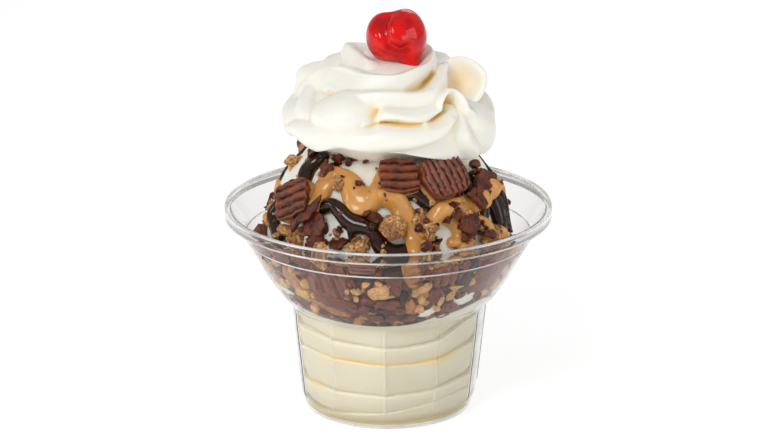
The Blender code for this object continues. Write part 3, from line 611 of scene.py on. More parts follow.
wall_crumbs = [
    (-4.5, 54.4, 5.6, 24), (-14.9, 51.2, 1.8, 80), (11.8, 54.0, 3.0, 80), (16.4, 56.4, 2.8, 40),
    (15.2, 51.2, 2.8, 60), (-17.8, 54.6, 2.2, 70), (24.5, 49.6, 3.2, 80), (-44, 50.0, 3.6, 30), (-52, 60.6, 3.4, 0),
    (-43, 59.6, 3.2, 50), (-56, 51.5, 4.0, 30), (-62, 57.0, 4.2, 50), (-9.4, 58.6, 2.4, 20), (31, 54.6, 2.2, 0)]
# runs of the two sauces and of ice cream pressed to the wall: azimuth, height, half lengths, roll
wall_runs = {
    "peanut": [(9.6, 62.0, 3.6, 7.0, 0), (11, 47.4, 2.6, 3.6, 20), (-46, 55.0, 5.6, 5.2, -30),
               (-27, 44.6, 8.6, 1.8, -17), (-36, 47.2, 4.2, 1.8, -24), (62, 62.0, 5.0, 2.4, 10)],
    "fudge": [(34.4, 56.0, 3.6, 5.4, 10), (-9, 60.4, 3.6, 3.0, 0), (2, 62.6, 3.4, 2.4, 10), (-4, 46.6, 4.4, 1.8, 0),
              (6.6, 52.0, 1.6, 4.0, 0), (35, 61.6, 6.0, 2.4, 10)],
    "vanilla": [(39.5, 47.6, 6.8, 3.8, 8), (20, 44.6, 4.0, 2.8, 18), (-62, 46.5, 5.0, 3.0, 0)]}
parts = []
taken = []
run_parts = {kind: [] for kind in wall_runs}
for kind, runs in wall_runs.items():
    for turn, level, long, short, roll in runs:
        tilt = np.radians(np.linspace(-90, 90, 13))[:, None]
        spin = np.radians(np.arange(0, 360, 12))
        swell = (1 + 0.12 * np.sin(2 * spin + turn) + 0.1 * np.sin(3 * spin + level)
                 + 0.07 * np.sin(5 * spin + 2 * turn) + 0.05 * np.sin(8 * spin + turn))
        grid = np.stack(np.broadcast_arrays(long * swell * np.cos(tilt) * np.cos(spin),
                                            short * swell * np.cos(tilt) * np.sin(spin),
                                            np.sin(tilt)), -1)
        points, faces = closed_surface(grid)
        lean = math.radians(roll)
        across = points[:, 0] * math.cos(lean) - points[:, 1] * math.sin(lean)
        up = points[:, 0] * math.sin(lean) + points[:, 1] * math.cos(lean)
        sunk = 0.8 if kind == "vanilla" else 0.3
        out = sunk + np.maximum(0.0, 1.3 + 1.8 * points[:, 2])
        run_parts[kind].append((on_wall(across, up, out, turn, level), faces, np.zeros(len(points))))
        taken.append((turn, level, (0.9 if kind == "vanilla" else 0.4) * short))
for index, (turn, level, wide, tall, roll, ridges, taper) in enumerate(wall_shells):
    points, faces, shade, worn = slab(wide, tall, 2.6, ridges, 40 + index, 18, taper, 0.45)
    lean = math.radians(roll)
    across = points[:, 0] * math.cos(lean) - points[:, 1] * math.sin(lean)
    up = points[:, 0] * math.sin(lean) + points[:, 1] * math.cos(lean)
    out = points[:, 2].max() - points[:, 2]
    parts.append((on_wall(across, up, out, turn, level), faces, np.column_stack([shade, worn])))
    taken.append((turn, level, 0.45 * max(wide, tall)))
crumb_parts = []
shapes, crumb_faces = nuggets(len(wall_crumbs), 5, 9, 14, 12, 0.06)
for shape, (turn, level, size, roll) in zip(shapes, wall_crumbs):
    lean = math.radians(roll)
    across = size * (shape[:, 0] * math.cos(lean) - 0.7 * shape[:, 1] * math.sin(lean))
    up = size * (shape[:, 0] * math.sin(lean) + 0.7 * shape[:, 1] * math.cos(lean))
    out = np.maximum(0.0, 0.8 + 0.7 * size * shape[:, 2])
    crumb_parts.append((on_wall(across, up, out, turn, level), crumb_faces, np.zeros((len(shape), 2))))
    taken.append((turn, level, 0.8 * size))

# the rest of the layer, all round: each bit is kept where it overlaps no earlier one too far
random = np.random.default_rng(11)
LOOSE_TRIES = 2600
tries = np.column_stack([random.uniform(-180, 180, LOOSE_TRIES), random.uniform(41, 66, LOOSE_TRIES),
                         random.triangular(1.5, 2.0, 6.4, LOOSE_TRIES), random.uniform(0, 360, LOOSE_TRIES)])
tries = tries[np.argsort(-tries[:, 2] + random.uniform(0, 1.5, LOOSE_TRIES))]
tries = tries[(tries[:, 1] > layer_edge(tries[:, 0]) + 0.6 * tries[:, 2])
              & (tries[:, 1] < collar_top(tries[:, 0]) + 1.5)]
shapes, loose_faces = nuggets(60, 21, 6, 9, 8, 0.05)
for number, (turn, level, size, roll) in enumerate(tries):
    others = np.array(taken)
    across = np.radians((others[:, 0] - turn + 180) % 360 - 180) * 46.0
    apart = np.hypot(across, (others[:, 1] - level) * 1.15)
    if np.any(apart < 0.72 * (others[:, 2] + size)):
        continue
    shape = shapes[number % 60]
    lean = math.radians(roll)
    across = size * (shape[:, 0] * math.cos(lean) - 0.75 * shape[:, 1] * math.sin(lean))
    up = size * (shape[:, 0] * math.sin(lean) + 0.75 * shape[:, 1] * math.cos(lean))
    out = np.maximum(0.0, 0.55 * size + 0.75 * size * shape[:, 2] - 0.1)
    bent = on_wall(across, up, out, turn, level)
    (crumb_parts if random.random() < 0.36 else parts).append((bent, loose_faces, np.zeros((len(shape), 2))))
    taken.append((turn, level, size))
points, faces, shade = joined(parts)
# these pieces, and the crumbs below, take the finishes' painted reflection of the plastic's veil
new_piece("wall_chocolate", points, faces, milk_chocolate, "milk_chocolate", crisp=32,
          filling=shade[:, 0], worn=shade[:, 1], pressed=np.ones(len(points)))
points, faces, shade = joined(crumb_parts)
new_piece("wall_peanut_crumbs", points, faces, peanut_butter, "peanut_butter", crisp=32,
          pressed=np.ones(len(points)))
points, faces, shade = joined(run_parts["vanilla"])
new_piece("wall_ice_cream", points, faces, vanilla, "vanilla_ice_cream", warm=shade, crease=shade)

# ------------------------------------------------------------------ upper ice cream
# A second swirl of soft serve set on the chopped layer. Its folds wind round it and lie over one
# another, each with a full lower edge and a crease beneath.
HEAP_CENTRE = np.array([0.0, 0.0, 60.0])
HEAP_FLATTENING = 4.8         # how much lower its top is than a ball's
FOLD_PITCH = 24.0
FOLD_DEPTH = 1.3
HEAP_COLUMNS = 280
HEAP_ROWS = 96


def heap_surface(azimuth, elevation):
    """Distance from the heap's centre to the upper ice cream: a ball with a lowered top and
    shallow folds that wind round it, |sin| of the elevation less the share of a turn."""
    lowered = HEAP_FLATTENING * np.clip((elevation - 48.0) / 42.0, 0, 1) ** 1.5
    sway = 3.0 * np.sin(np.radians(2 * azimuth + 40)) + 1.5 * np.sin(np.radians(5 * azimuth))
    phase = (elevation + sway) / FOLD_PITCH - azimuth / 360.0
    flat = np.cos(np.radians(elevation))
    fold = np.abs(np.sin(math.pi * phase)) ** 0.7
    foot = np.clip((elevation - 8.0) / 12.0, 0, 1)
    return HEAP_RADIUS - lowered - FOLD_DEPTH * (1 - fold) * foot * flat ** 2


def aimed(azimuth, elevation):
    """Unit directions from azimuth and elevation."""
    lift = np.radians(elevation)
    return around(np.cos(lift), np.sin(lift), azimuth)


turns = np.arange(HEAP_COLUMNS) * 360.0 / HEAP_COLUMNS - 180.0
lifts = np.linspace(0.5, 90.0, HEAP_ROWS)[:, None]
dome = HEAP_CENTRE + aimed(turns, lifts) * heap_surface(turns, lifts)[..., None]
below = np.stack([around(radius, LAYER_TOP + 0.1, turns) for radius in (0.0, 20.0)])
points, faces = closed_surface(np.vstack([below, dome]))
new_piece("upper_ice_cream", points, faces, vanilla, "vanilla_ice_cream", ["ice_cream_top"])

# ------------------------------------------------------------------ fudge sauce
# Dark fudge poured thick from a squeeze bottle over the upper ice cream. It lies on it in full
# round ropes that run into one another, swell where they turn and end in drops.
MAP_STEP = 1.0
map_turns = np.arange(-180.0, 180.0, MAP_STEP)
map_lifts = np.arange(-6.0, 90.0 + MAP_STEP, MAP_STEP)
heap_map = heap_surface(map_turns, np.maximum(map_lifts, 0.0)[:, None])
map_aims = aimed(map_turns, map_lifts[:, None])


def heap_level(directions):
    """How far out the heap lies in each direction, from the map of all that is laid so far,
    evened over a few degrees so that sauce bridges the small steps in it."""
    padded = np.pad(np.pad(heap_map, ((2, 2), (0, 0)), "edge"), ((0, 0), (2, 2)), "wrap")
    rows, columns = heap_map.shape
    even = sum(padded[i:i + rows, j:j + columns] for i in range(5) for j in range(5)) / 25
    lift = np.degrees(np.arcsin(np.clip(directions[..., 2], -1, 1)))
    turn = np.degrees(np.arctan2(directions[..., 0], -directions[..., 1]))
    row = np.clip((lift - map_lifts[0]) / MAP_STEP, 0, rows - 1.001)
    column = (turn + 180.0) / MAP_STEP
    i, j = row.astype(int), column.astype(int)
    s, t = row - i, column - j
    j, k = j % columns, (j + 1) % columns
    return ((1 - s) * ((1 - t) * even[i, j] + t * even[i, k])
            + s * ((1 - t) * even[i + 1, j] + t * even[i + 1, k]))


def smooth_route(knots, spacing=0.6):
    """Evenly spaced rows on a Catmull-Rom curve through the knots, whose first two numbers are
    azimuth and elevation and whose others are carried along."""
    knots = np.asarray(knots, float)
    ends = np.vstack([2 * knots[0] - knots[1], knots, 2 * knots[-1] - knots[-2]])
    a, b, c, d = (ends[k:len(ends) - 3 + k, None] for k in range(4))
    t = np.linspace(0, 1, 24, endpoint=False)[None, :, None]
    curve = 0.5 * (2 * b + (c - a) * t + (2 * a - 5 * b + 4 * c - d) * t ** 2
                   + (3 * b - a - 3 * c + d) * t ** 3)
    curve = np.vstack([curve.reshape(-1, knots.shape[1]), knots[-1:]])
    place = aimed(curve[:, 0], curve[:, 1]) * HEAP_RADIUS
    run = np.concatenate([[0], np.cumsum(np.linalg.norm(np.diff(place, axis=0), axis=1))])
    even = np.linspace(0, run[-1], max(6, int(run[-1] / spacing)))
    return np.stack([np.interp(even, run, curve[:, k]) for k in range(knots.shape[1])], -1), even


def poured(knots, sunk=1.2, sides=18):
    """A rope of sauce laid along a route of (azimuth, elevation, width, height): half round above
    what it lies on, sunk a little into it below, with both ends rounded. The map rises by it."""
    global heap_map
    route, run = smooth_route(knots)
    aims = aimed(route[:, 0], route[:, 1])
    ahead = np.gradient(aims, axis=0)
    across = np.cross(ahead, aims)
    across /= np.linalg.norm(across, axis=1)[:, None]
    width, height = route[:, 2], route[:, 3]
    end = np.minimum(run, run[-1] - run) / (width / 2)
    full = np.sqrt(np.clip(1 - (1 - np.clip(end, 0, 1)) ** 2, 0.0004, 1))
    angle = np.linspace(0, 2 * math.pi, sides, endpoint=False)
    aside = np.cos(angle) * (width / 2 * full)[:, None]
    lift = np.where(np.sin(angle) > 0, np.sin(angle) * (height * full)[:, None], np.sin(angle) * sunk)
    spots = aims[:, None] * HEAP_RADIUS + across[:, None] * aside[..., None]
    spots /= np.linalg.norm(spots, axis=2)[..., None]
    grid = HEAP_CENTRE + spots * (heap_level(spots) + lift)[..., None]
    near = map_aims.reshape(-1, 3) @ aims.T
    nearest = np.argmax(near, axis=1)
    off = np.arccos(np.clip(near[np.arange(len(near)), nearest], -1, 1)) * HEAP_RADIUS
    share = np.clip(1 - (off / (width / 2)[nearest]) ** 2, 0, 1)
    heap_map = heap_map + (np.sqrt(share) * height[nearest]).reshape(heap_map.shape)
    grid = np.concatenate([grid[:1].mean(axis=1, keepdims=True).repeat(sides, axis=1), grid,
                           grid[-1:].mean(axis=1, keepdims=True).repeat(sides, axis=1)])
    points, faces = closed_surface(grid)
    return points, faces, np.zeros(len(points))


def run_together(piece, voxel, smoothing):
    """Joins the parts of a piece into one skin, on small voxels, and smooths the joints away."""
    remesh = piece.modifiers.new("one_skin", "REMESH")
    remesh.mode = "VOXEL"
    remesh.voxel_size = voxel * MM
    remesh.use_smooth_shade = True
    smooth = piece.modifiers.new("smoothed", "SMOOTH")
    smooth.factor = 0.5
    smooth.iterations = smoothing


def evened(knots, width, height):
    """The same width and height at every knot, with a slow swell along the rope."""
    swell = 1 + 0.10 * np.sin(np.arange(len(knots)) * 2.1 + knots[0][0])
    return [(turn, lift, width * s, height * s) for (turn, lift), s in zip(knots, swell)]


fudge_routes = [
    [(-44, 24, 4.6, 3.2), (-39, 27, 5.0, 3.8), (-34.5, 29, 5.2, 4.2), (-30, 30, 5.2, 4.4), (-25.5, 28, 5.6, 4.6),
     (-21, 25, 6.4, 4.6), (-16.5, 23.2, 6.8, 4.6), (-12, 22.6, 6.2, 4.4), (-8, 21.5, 6.0, 4.4), (-5, 18, 6.0, 4.4),
     (-3, 13.5, 6.4, 4.2), (2, 10.2, 7.0, 3.8), (9, 10.6, 6.4, 3.4), (15, 9.5, 6.0, 3.2)],
    [(-18, 21, 3.0, 2.0), (-17.6, 16, 2.2, 1.8), (-17.2, 12, 2.4, 2.0)],
    [(-9, 21, 4.0, 3.0), (-3, 24.5, 3.4, 2.6), (4, 26, 3.0, 2.2)],
    evened([(-54, 54), (-58, 49), (-60, 44), (-58, 39.5), (-55, 36), (-52, 33)], 5.6, 3.6),
    evened([(-61, 36), (-66, 29), (-70, 23.5), (-72, 17.5), (-68, 13), (-62, 9.5), (-57, 8)], 5.2, 3.4),
    evened([(-46, 49), (-40, 48), (-35, 47)], 3.4, 2.0),
    evened([(-6, 36), (2, 35), (10, 37), (16, 37), (24, 31), (32, 30), (38, 33), (43, 38), (50, 42)], 5.4, 3.2),
    evened([(48, 36), (53, 31), (54, 25), (51, 19), (50, 13)], 6.0, 3.6),
    evened([(60, 42), (64, 34), (66, 26), (65.5, 17), (64.5, 8)], 7.0, 3.8),
    evened([(70, 30), (71, 22), (70, 14), (69, 8)], 4.6, 2.6),
    evened([(126, 20), (136, 27), (150, 34), (166, 30), (180, 22), (194, 20), (208, 27), (220, 30), (231, 22)],
           5.6, 3.6),
    evened([(132, 22), (128, 14), (122, 8)], 4.0, 2.6), evened([(198, 21), (203, 12), (200, 7)], 3.6, 2.6),
    evened([(106, 12), (102, 22), (106, 32), (114, 38), (120, 28)], 3.6, 1.3),
    evened([(-106, 12), (-102, 24), (-106, 34), (-114, 42), (-120, 30)], 3.6, 1.3)]
points, faces, shade = joined([poured(route) for route in fudge_routes])

fudge, place = new_finish("fudge_sauce")
ripple = place.noise(5.0, 1.0)
close_finish(place, {
    "Base Color": ripple.mix(colour(34, 14, 6), colour(48, 22, 10)), "Roughness": 0.12,
    "Specular IOR Level": 0.3, "Coat Weight": 0.25, "Coat Roughness": 0.04,
    "Normal": place.bump(ripple, 0.15, 0.8)})
ropes = new_piece("fudge_ropes", points, faces, fudge, "fudge_sauce",
                  ["fudge_front", "fudge_left", "fudge_upper", "fudge_right", "fudge_back"])
run_together(ropes, 0.42, 4)
points, faces, shade = joined(run_parts["fudge"])
new_piece("wall_fudge", points, faces, fudge, "fudge_sauce")

# ------------------------------------------------------------------ peanut butter sauce
# Warm peanut butter sauce ladled on after the fudge. It is thinner, so it runs together into
# broad flats with full rounded edges, and stretches to thin strands where it was drawn off.
sauce_routes = [
    [(-41, 22, 5.0, 2.2), (-40, 28, 7.0, 2.6), (-40, 33, 8.0, 2.8), (-40, 38, 8.0, 2.8), (-36, 42.5, 7.5, 3.0),
     (-29, 43.5, 7.5, 3.2), (-23.5, 41, 8.5, 3.3), (-18.5, 36.5, 9.5, 3.3), (-13.5, 33.5, 10.0, 3.4),
     (-9, 35, 8.5, 3.2), (-6, 40, 6.5, 3.0), (-4.5, 45.5, 5.2, 2.8), (-2, 52, 4.2, 2.4), (1, 57, 4.0, 2.0)],
    [(-44, 48, 4.0, 1.8), (-41, 44, 6.0, 2.4), (-37, 39, 6.0, 2.4)],
    [(-6, 34.5, 4.4, 2.6), (-1, 34.5, 5.4, 2.8), (4, 33, 7.0, 3.0), (8, 28.5, 7.6, 3.0), (11, 23, 7.8, 3.2),
     (13, 18, 8.2, 3.2), (15, 12, 9.4, 3.0), (19, 7, 8.0, 2.4)],
    [(13, 18, 5.0, 2.4), (19, 22, 4.8, 2.8), (25, 25.5, 4.8, 2.8), (31, 24, 5.0, 2.8), (35, 20.5, 5.4, 3.0),
     (36, 16, 5.6, 3.0), (33, 13, 4.4, 2.6), (28, 13, 3.4, 2.2)],
    [(18, 20, 5.0, 2.4), (23, 25, 6.0, 2.6), (30, 28, 6.6, 2.8), (38, 27.5, 6.8, 2.8), (45, 28, 7.0, 2.8),
     (51, 28, 7.0, 2.8), (58, 29, 7.0, 3.0), (64, 31, 6.6, 3.0), (68, 33, 5.0, 2.6)],
    [(40, 25, 5.0, 2.6), (46, 20, 5.0, 2.6), (50, 15, 6.0, 2.6), (56, 11, 6.6, 2.6), (64, 10, 6.4, 2.4)],
    [(42, 15, 5.0, 2.4), (40, 10, 5.0, 2.2), (33, 8, 4.4, 2.0)],
    [(-70, 12, 5.0, 2.4), (-76, 13, 5.6, 2.6), (-84, 10, 5.0, 2.4)],
    evened([(124, 12), (132, 18), (142, 20), (156, 38), (172, 40), (188, 15), (204, 16), (214, 36), (224, 34),
            (232, 16), (238, 10)], 6.0, 3.0),
    evened([(132, 18), (130, 10), (124, 6)], 4.6, 2.4), evened([(228, 22), (222, 12), (214, 7)], 5.0, 2.4),
    evened([(98, 30), (104, 16), (110, 14), (116, 24)], 4.4, 1.2),
    evened([(-99, 26), (-104, 16), (-110, 12), (-116, 20)], 4.4, 1.0)]
points, faces, shade = joined([poured(route) for route in sauce_routes])

peanut_sauce, place = new_finish("peanut_butter_sauce")
depth_tone = place.noise(7.0, 2.0).mix(colour(196, 134, 60), colour(220, 164, 90))
flecks = place.noise(0.45, 2.0).between(0.66, 0.74) * 0.25
close_finish(place, {
    "Base Color": flecks.mix(depth_tone, colour(176, 112, 52)), "Roughness": 0.24,
    "Subsurface Weight": 0.35, "Subsurface Radius": (1.0, 0.5, 0.2), "Subsurface Scale": 0.003,
    "Coat Weight": 0.25, "Coat Roughness": 0.08, "Normal": place.bump(place.noise(2.5, 3.0), 0.15, 0.6)})
flats = new_piece("peanut_sauce_flats", points, faces, peanut_sauce, "peanut_butter_sauce",
                  ["peanut_sauce_left", "peanut_sauce_middle", "peanut_sauce_right",
                   "peanut_sauce_low", "peanut_sauce_back"])
run_together(flats, 0.42, 5)
pressed_sauce, place = new_finish("pressed_sauce")
streaks = place.noise(3.0, 3.0, 1.0)
close_finish(place, {
    "Base Color": streaks.between(0.35, 0.65).mix(colour(150, 96, 44), colour(190, 136, 72)), "Roughness": 0.3,
    "Subsurface Weight": 0.3, "Subsurface Radius": (1.0, 0.5, 0.2), "Subsurface Scale": 0.002,
    "Normal": place.bump(streaks, 0.3, 0.5)})
points, faces, shade = joined(run_parts["peanut"])
new_piece("wall_peanut_sauce", points, faces, pressed_sauce, "peanut_butter_sauce")

# ------------------------------------------------------------------ broken peanut butter cups
# Chocolate cups broken up by hand. The pieces show the fluted side of the cup, its plain top, or
# the crumbly peanut butter inside where they broke, and lie pressed into the sauce.
pieces_laid = [               # node, azimuth, elevation, size, roll, thickness, ridges, taper
    ("candy_front", 6, 43.5, (13.4, 12.0), 0, 5.2, 4, 0.0),
    ("candy_right", 31.5, 41, (14.6, 16.6), 97, 5.8, 7, 0.0),
    ("candy_left", -50.4, 27.2, (14.4, 12.6), 30, 5.0, 4, 0.0),
    ("candy_back_right", 128, 41, (13.0, 12.0), 20, 5.2, 4, 0.0),
    ("candy_back_left", -146, 26, (13.0, 12.0), 75, 5.2, 4, 0.0)]


def node_points(name):
    """The points of a CAD node, in millimetres."""
    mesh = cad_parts[name].data
    points = np.empty(len(mesh.vertices) * 3)
    mesh.vertices.foreach_get("co", points)
    return points.reshape(-1, 3) / MM


def laid(points, azimuth, elevation, roll, level):
    """Points of a flat-lying piece put on the heap, at a distance from its centre."""
    out = aimed(azimuth, elevation)
    right = np.cross([0.0, 0.0, 1.0], out)
    right /= np.linalg.norm(right)
    up = np.cross(out, right)
    lean = math.radians(roll)
    along = right * math.cos(lean) + up * math.sin(lean)
    over = up * math.cos(lean) - right * math.sin(lean)
    return (HEAP_CENTRE + out * (level + points[:, 2:]) + along * points[:, :1] + over * points[:, 1:2])


for index, (node, turn, lift, size, roll, thick, ridges, taper) in enumerate(pieces_laid):
    outermost = np.max((node_points(node) - HEAP_CENTRE) @ aimed(turn, lift))
    points, faces, shade, worn = slab(*size, thick, ridges, 7 + index, 40, taper, 0.34)
    level = outermost - points[:, 2].max()
    new_piece(f"broken_{node}", laid(points, turn, lift, roll, level), faces, milk_chocolate,
              "milk_chocolate", [node], crisp=50, filling=shade, worn=worn)


def flake(corners, thickness, seed, sides=72):
    """A thin splinter of shell with z out of its face: an outline through the corners, roughened
    a little, that shrinks in rings to the middle on both faces, with sharp edges between."""
    random = np.random.default_rng(seed)
    loop = np.array(list(corners) + [corners[0]], float)
    run = np.concatenate([[0], np.cumsum(np.hypot(*np.diff(loop, axis=0).T))])
    at = np.linspace(0, run[-1], sides, endpoint=False)
    outline = np.stack([np.interp(at, run, loop[:, k]) for k in range(2)], -1)
    outline += random.normal(0, 0.13, outline.shape)
    middle = outline.mean(axis=0)
    shares = np.array([0, 0.5, 0.8, 0.95, 0.99, 1, 0.97, 0.99, 0.93, 0.85, 0])
    heights = np.array([1, 1, 1, 1, 0.96, 0.85, 0.55, 0.4, 0.12, 0, 0]) * thickness
    rings = middle + shares[:, None, None] * (outline - middle)
    waves = 0.16 * np.sin(1.7 * rings[..., 0] + seed) * np.sin(1.3 * rings[..., 1] + 2 * seed)
    lifted = heights[:, None] + waves + 0.05 * random.normal(size=waves.shape)
    lifted[[0, -1]] = lifted[[0, -1]].mean(axis=1, keepdims=True)
    points, faces = closed_surface(np.dstack([rings, lifted])[::-1])
    return points, faces, np.zeros(len(points))


# splinters: azimuth, elevation, how far above what lies there, thickness, corners
broken_flakes = {
    "chip_left": [
        (-42.3, 24, 47.2, 1.5, [(6.6, 7.2), (6.2, 2.2), (3.6, -1.8), (0.4, -4), (-1.6, -7.6), (-4.2, -3), (-6.6, 1.4),
                                (-5.4, 3.4), (-1.4, 0.6), (2.4, 2.2)]),
        (-36.6, 20.2, 44.6, 1.8, [(3.4, -3.4), (-2.6, -4.4), (-4.2, 0.4), (-2.2, 4.2), (2.6, 3.8), (4.6, 0.4)])],
    "candy_far_right": [
        (58.1, 34.6, 46.4, 2.4, [(6.4, -2.6), (-2, -3.4), (-8.4, -3.4), (-4, 1.2), (-1.6, 2.8), (2, 3.6), (8.2, 0.6)]),
        (50.0, 29.6, 46.6, 2.2, [(3.8, -2), (-1, -5.4), (-2.8, -2), (-6, 2.2), (-1, 3.2), (5.6, 0.4)])],
    "chip_back": [(172, 12, 44.4, 2.0, [(5, -3), (-4, -4), (-6, 1), (-1, 4), (4, 3)])]}
for node, flakes in broken_flakes.items():
    shapes = []
    for index, (turn, lift, level, thick, corners) in enumerate(flakes):
        points, faces, shade = flake(corners, thick, index + len(node))
        shapes.append((laid(points, turn, lift, 0, level - thick), faces, shade))
    points, faces, shade = joined(shapes)
    new_piece(f"broken_{node}", points, faces, milk_chocolate, "milk_chocolate", [node], crisp=40,
              filling=shade)

# lumps of the filling, which broke out whole, and of crushed chocolate
lumps = [                     # node, azimuth, elevation, radius, height, finish
    ("peanut_lump_front", 1.5, 21.5, 6.0, 6.4, peanut_butter), ("peanut_lump_back", -162, 44, 5.2, 5.4, peanut_butter),
    ("crumble_right", 38, 19.5, 5.6, 3.8, milk_chocolate), ("crumble_left", -27, 9.5, 4.6, 3.2, peanut_butter)]
shapes, faces = nuggets(len(lumps), 31, 26, 44, 22, 0.0)
for shape, (node, turn, lift, size, tall, finish) in zip(shapes, lumps):
    outermost = np.max((node_points(node) - HEAP_CENTRE) @ aimed(turn, lift))
    points = shape * (size, size, tall * 0.75) * 1.05
    points += 0.14 * np.sin(points[:, [1, 2, 0]] * 3.1) + 0.1 * np.sin(points[:, [2, 0, 1]] * 7.3)
    level = outermost - points[:, 2].max()
    new_piece(f"broken_{node}", laid(points, turn, lift, 0, level), faces, finish,
              "peanut_butter" if finish is peanut_butter else "milk_chocolate", [node],
              filling=np.zeros(len(points)))

# ------------------------------------------------------------------ crumbs
# Small bits from the chopping, strewn over the heap and thickest where they rolled down into the
# ring between the ice cream and the dish: chips of chocolate shell and crumbs of filling.
RING_CRUMBS = 900
HEAP_CRUMBS = 200
# where they lie in heaps: azimuth, elevation, how far they spread, how many, the largest, and
# how much of it is filling
clusters = [
    (-37.4, 43.3, 1.4, 5, 2.2, 0.2), (-29, 38.6, 2.2, 9, 2.2, 0.95), (-86, 40.5, 1.8, 5, 2.4, 0.9),
    (-70.6, 48.7, 2.4, 9, 2.0, 0.2), (-61, 49.8, 2.2, 8, 2.0, 0.3), (-39.9, 52.0, 2.0, 7, 2.4, 0.0),
    (-28, 55.0, 1.0, 3, 1.4, 0.0), (-17.9, 55.2, 1.0, 3, 1.4, 0.0), (-10.4, 28, 1.8, 5, 1.8, 0.0),
    (-5.2, 25.0, 1.2, 4, 2.2, 0.2), (-16.8, 41.0, 0.8, 3, 1.6, 0.0), (16.7, 27.6, 2.8, 16, 2.2, 0.4),
    (13.6, 20.8, 2.2, 12, 1.8, 0.5), (20.9, 20.6, 1.0, 4, 2.0, 1.0), (16.4, 13.4, 2.8, 14, 2.2, 0.7),
    (22.0, 12.7, 2.4, 12, 1.8, 0.3), (32.5, 24.4, 2.6, 14, 2.0, 0.1), (38.6, 20.0, 2.6, 14, 2.0, 0.1),
    (39.7, 15.4, 2.2, 10, 2.0, 0.2), (45.0, 20.2, 2.2, 9, 2.0, 0.3), (48.7, 12.9, 2.6, 9, 2.4, 0.9),
    (56.5, 13.2, 2.4, 8, 2.2, 0.9), (60.3, 43.0, 2.2, 10, 2.0, 0.1), (65.7, 38.0, 2.2, 9, 2.0, 0.2),
    (-54.4, 12.6, 2.6, 10, 3.2, 0.9), (-45.7, 12.6, 2.6, 14, 2.2, 0.8), (-35.6, 13.0, 3.4, 14, 3.4, 0.1),
    (-24.2, 13.6, 3.0, 14, 3.2, 0.5), (-12.9, 13.6, 2.6, 9, 2.8, 0.8), (-50, 24, 3.4, 9, 1.6, 0.9),
    (150, 12, 5.0, 16, 2.6, 0.5), (-150, 14, 5.0, 16, 2.6, 0.5), (112, 10, 5.0, 14, 2.6, 0.5),
    (-108, 10, 5.0, 14, 2.6, 0.5)]
random = np.random.default_rng(23)
turn = random.uniform(-180, 180, RING_CRUMBS)
share = random.uniform(0, 1, RING_CRUMBS)
level = collar_top(turn)
radius = HEAP_RADIUS - 1.5 + share * (inside_radius(level + 1.0, turn) - HEAP_RADIUS - 0.8)
height = level + COLLAR_RISE * np.sin((1 - share) * math.pi / 2) + random.uniform(-0.4, 1.1, RING_CRUMBS)
height -= 1.8 * (bump(turn, -96, 18) + bump(turn, 96, 18))
ring_places = around(radius, height, turn)
turn = random.uniform(-180, 180, HEAP_CRUMBS)
lift = 8 + 46 * random.uniform(0, 1, HEAP_CRUMBS) ** 1.7
aims = aimed(turn, lift)
heap_places = HEAP_CENTRE + aims * (heap_level(aims) + random.uniform(-0.2, 0.5, HEAP_CRUMBS))[:, None]
places = [ring_places, heap_places]
sizes = [random.triangular(0.6, 1.1, 3.0, RING_CRUMBS), random.triangular(0.3, 0.5, 1.3, HEAP_CRUMBS)]
is_filling = [random.random(RING_CRUMBS + HEAP_CRUMBS) < 0.45]
for turn, lift, spread, count, largest, filling in clusters:
    size = np.sort(random.triangular(0.4, 0.7, largest, count))[::-1]
    size[0] = largest
    spot = aimed(turn, lift) * HEAP_RADIUS + random.normal(0, spread * 0.6, (count, 3))
    spot[0] = aimed(turn, lift) * HEAP_RADIUS
    aims = spot / np.linalg.norm(spot, axis=1)[:, None]
    aims[:, 2] = np.maximum(aims[:, 2], 0.12)
    places.append(HEAP_CENTRE + aims * (heap_level(aims) + 0.3 * size)[:, None])
    sizes.append(size)
    is_filling.append(random.random(count) < filling)
places, sizes, is_filling = np.vstack(places), np.concatenate(sizes), np.concatenate(is_filling)
shapes, faces = nuggets(40, 77, 8, 11, 9, 0.09)
spun = turned(len(places), random)
bits = np.einsum("nij,nvj->nvi", spun, shapes[np.arange(len(places)) % 40]) * sizes[:, None, None]
bits = bits + places[:, None]
for name, finish, slot, chosen in (("loose_chocolate", milk_chocolate, "milk_chocolate", ~is_filling),
                                   ("loose_peanut_crumbs", peanut_butter, "peanut_butter", is_filling)):
    points, many, shade = joined([(bit, faces, np.zeros(len(bit))) for bit in bits[chosen]])
    new_piece(name, points, many, finish, slot, crisp=30, filling=shade)

# ------------------------------------------------------------------ whipped cream
# Whipped cream piped round and round into a rosette on top of the heap. The star nozzle leaves
# full folds and thin crests, which lie over one another, and one petal stands off at the right.
CREAM_CENTRE = np.array([0.5, 0.0, 104.0])
CREAM_COLUMNS = 432
CREAM_ROWS = 210
CREAM_BLEND = 2.2             # how sharply folds meet; lower fills the creases between them
CREAM_REST = 97.0             # height of the underside where it rests on the heap
cream_body = np.array([       # elevation from the cream's centre, radius
    (-90, 12), (-20, 34), (-10, 34), (0, 33.5), (10, 31.8), (20, 29.4), (30, 26.6), (40, 24.2), (50, 23.6),
    (60, 22.6), (75, 20.9), (90, 20.4)])
cream_hem = np.array([        # azimuth, height of the lower edge
    (-180, 98), (-120, 99), (-76, 100.2), (-58, 99.2), (-41, 98.4), (-26, 101.4), (-13, 100.6), (7, 99.4),
    (25, 96.6), (45, 94), (63, 92.8), (78, 94), (110, 97), (150, 98.4), (180, 98)])
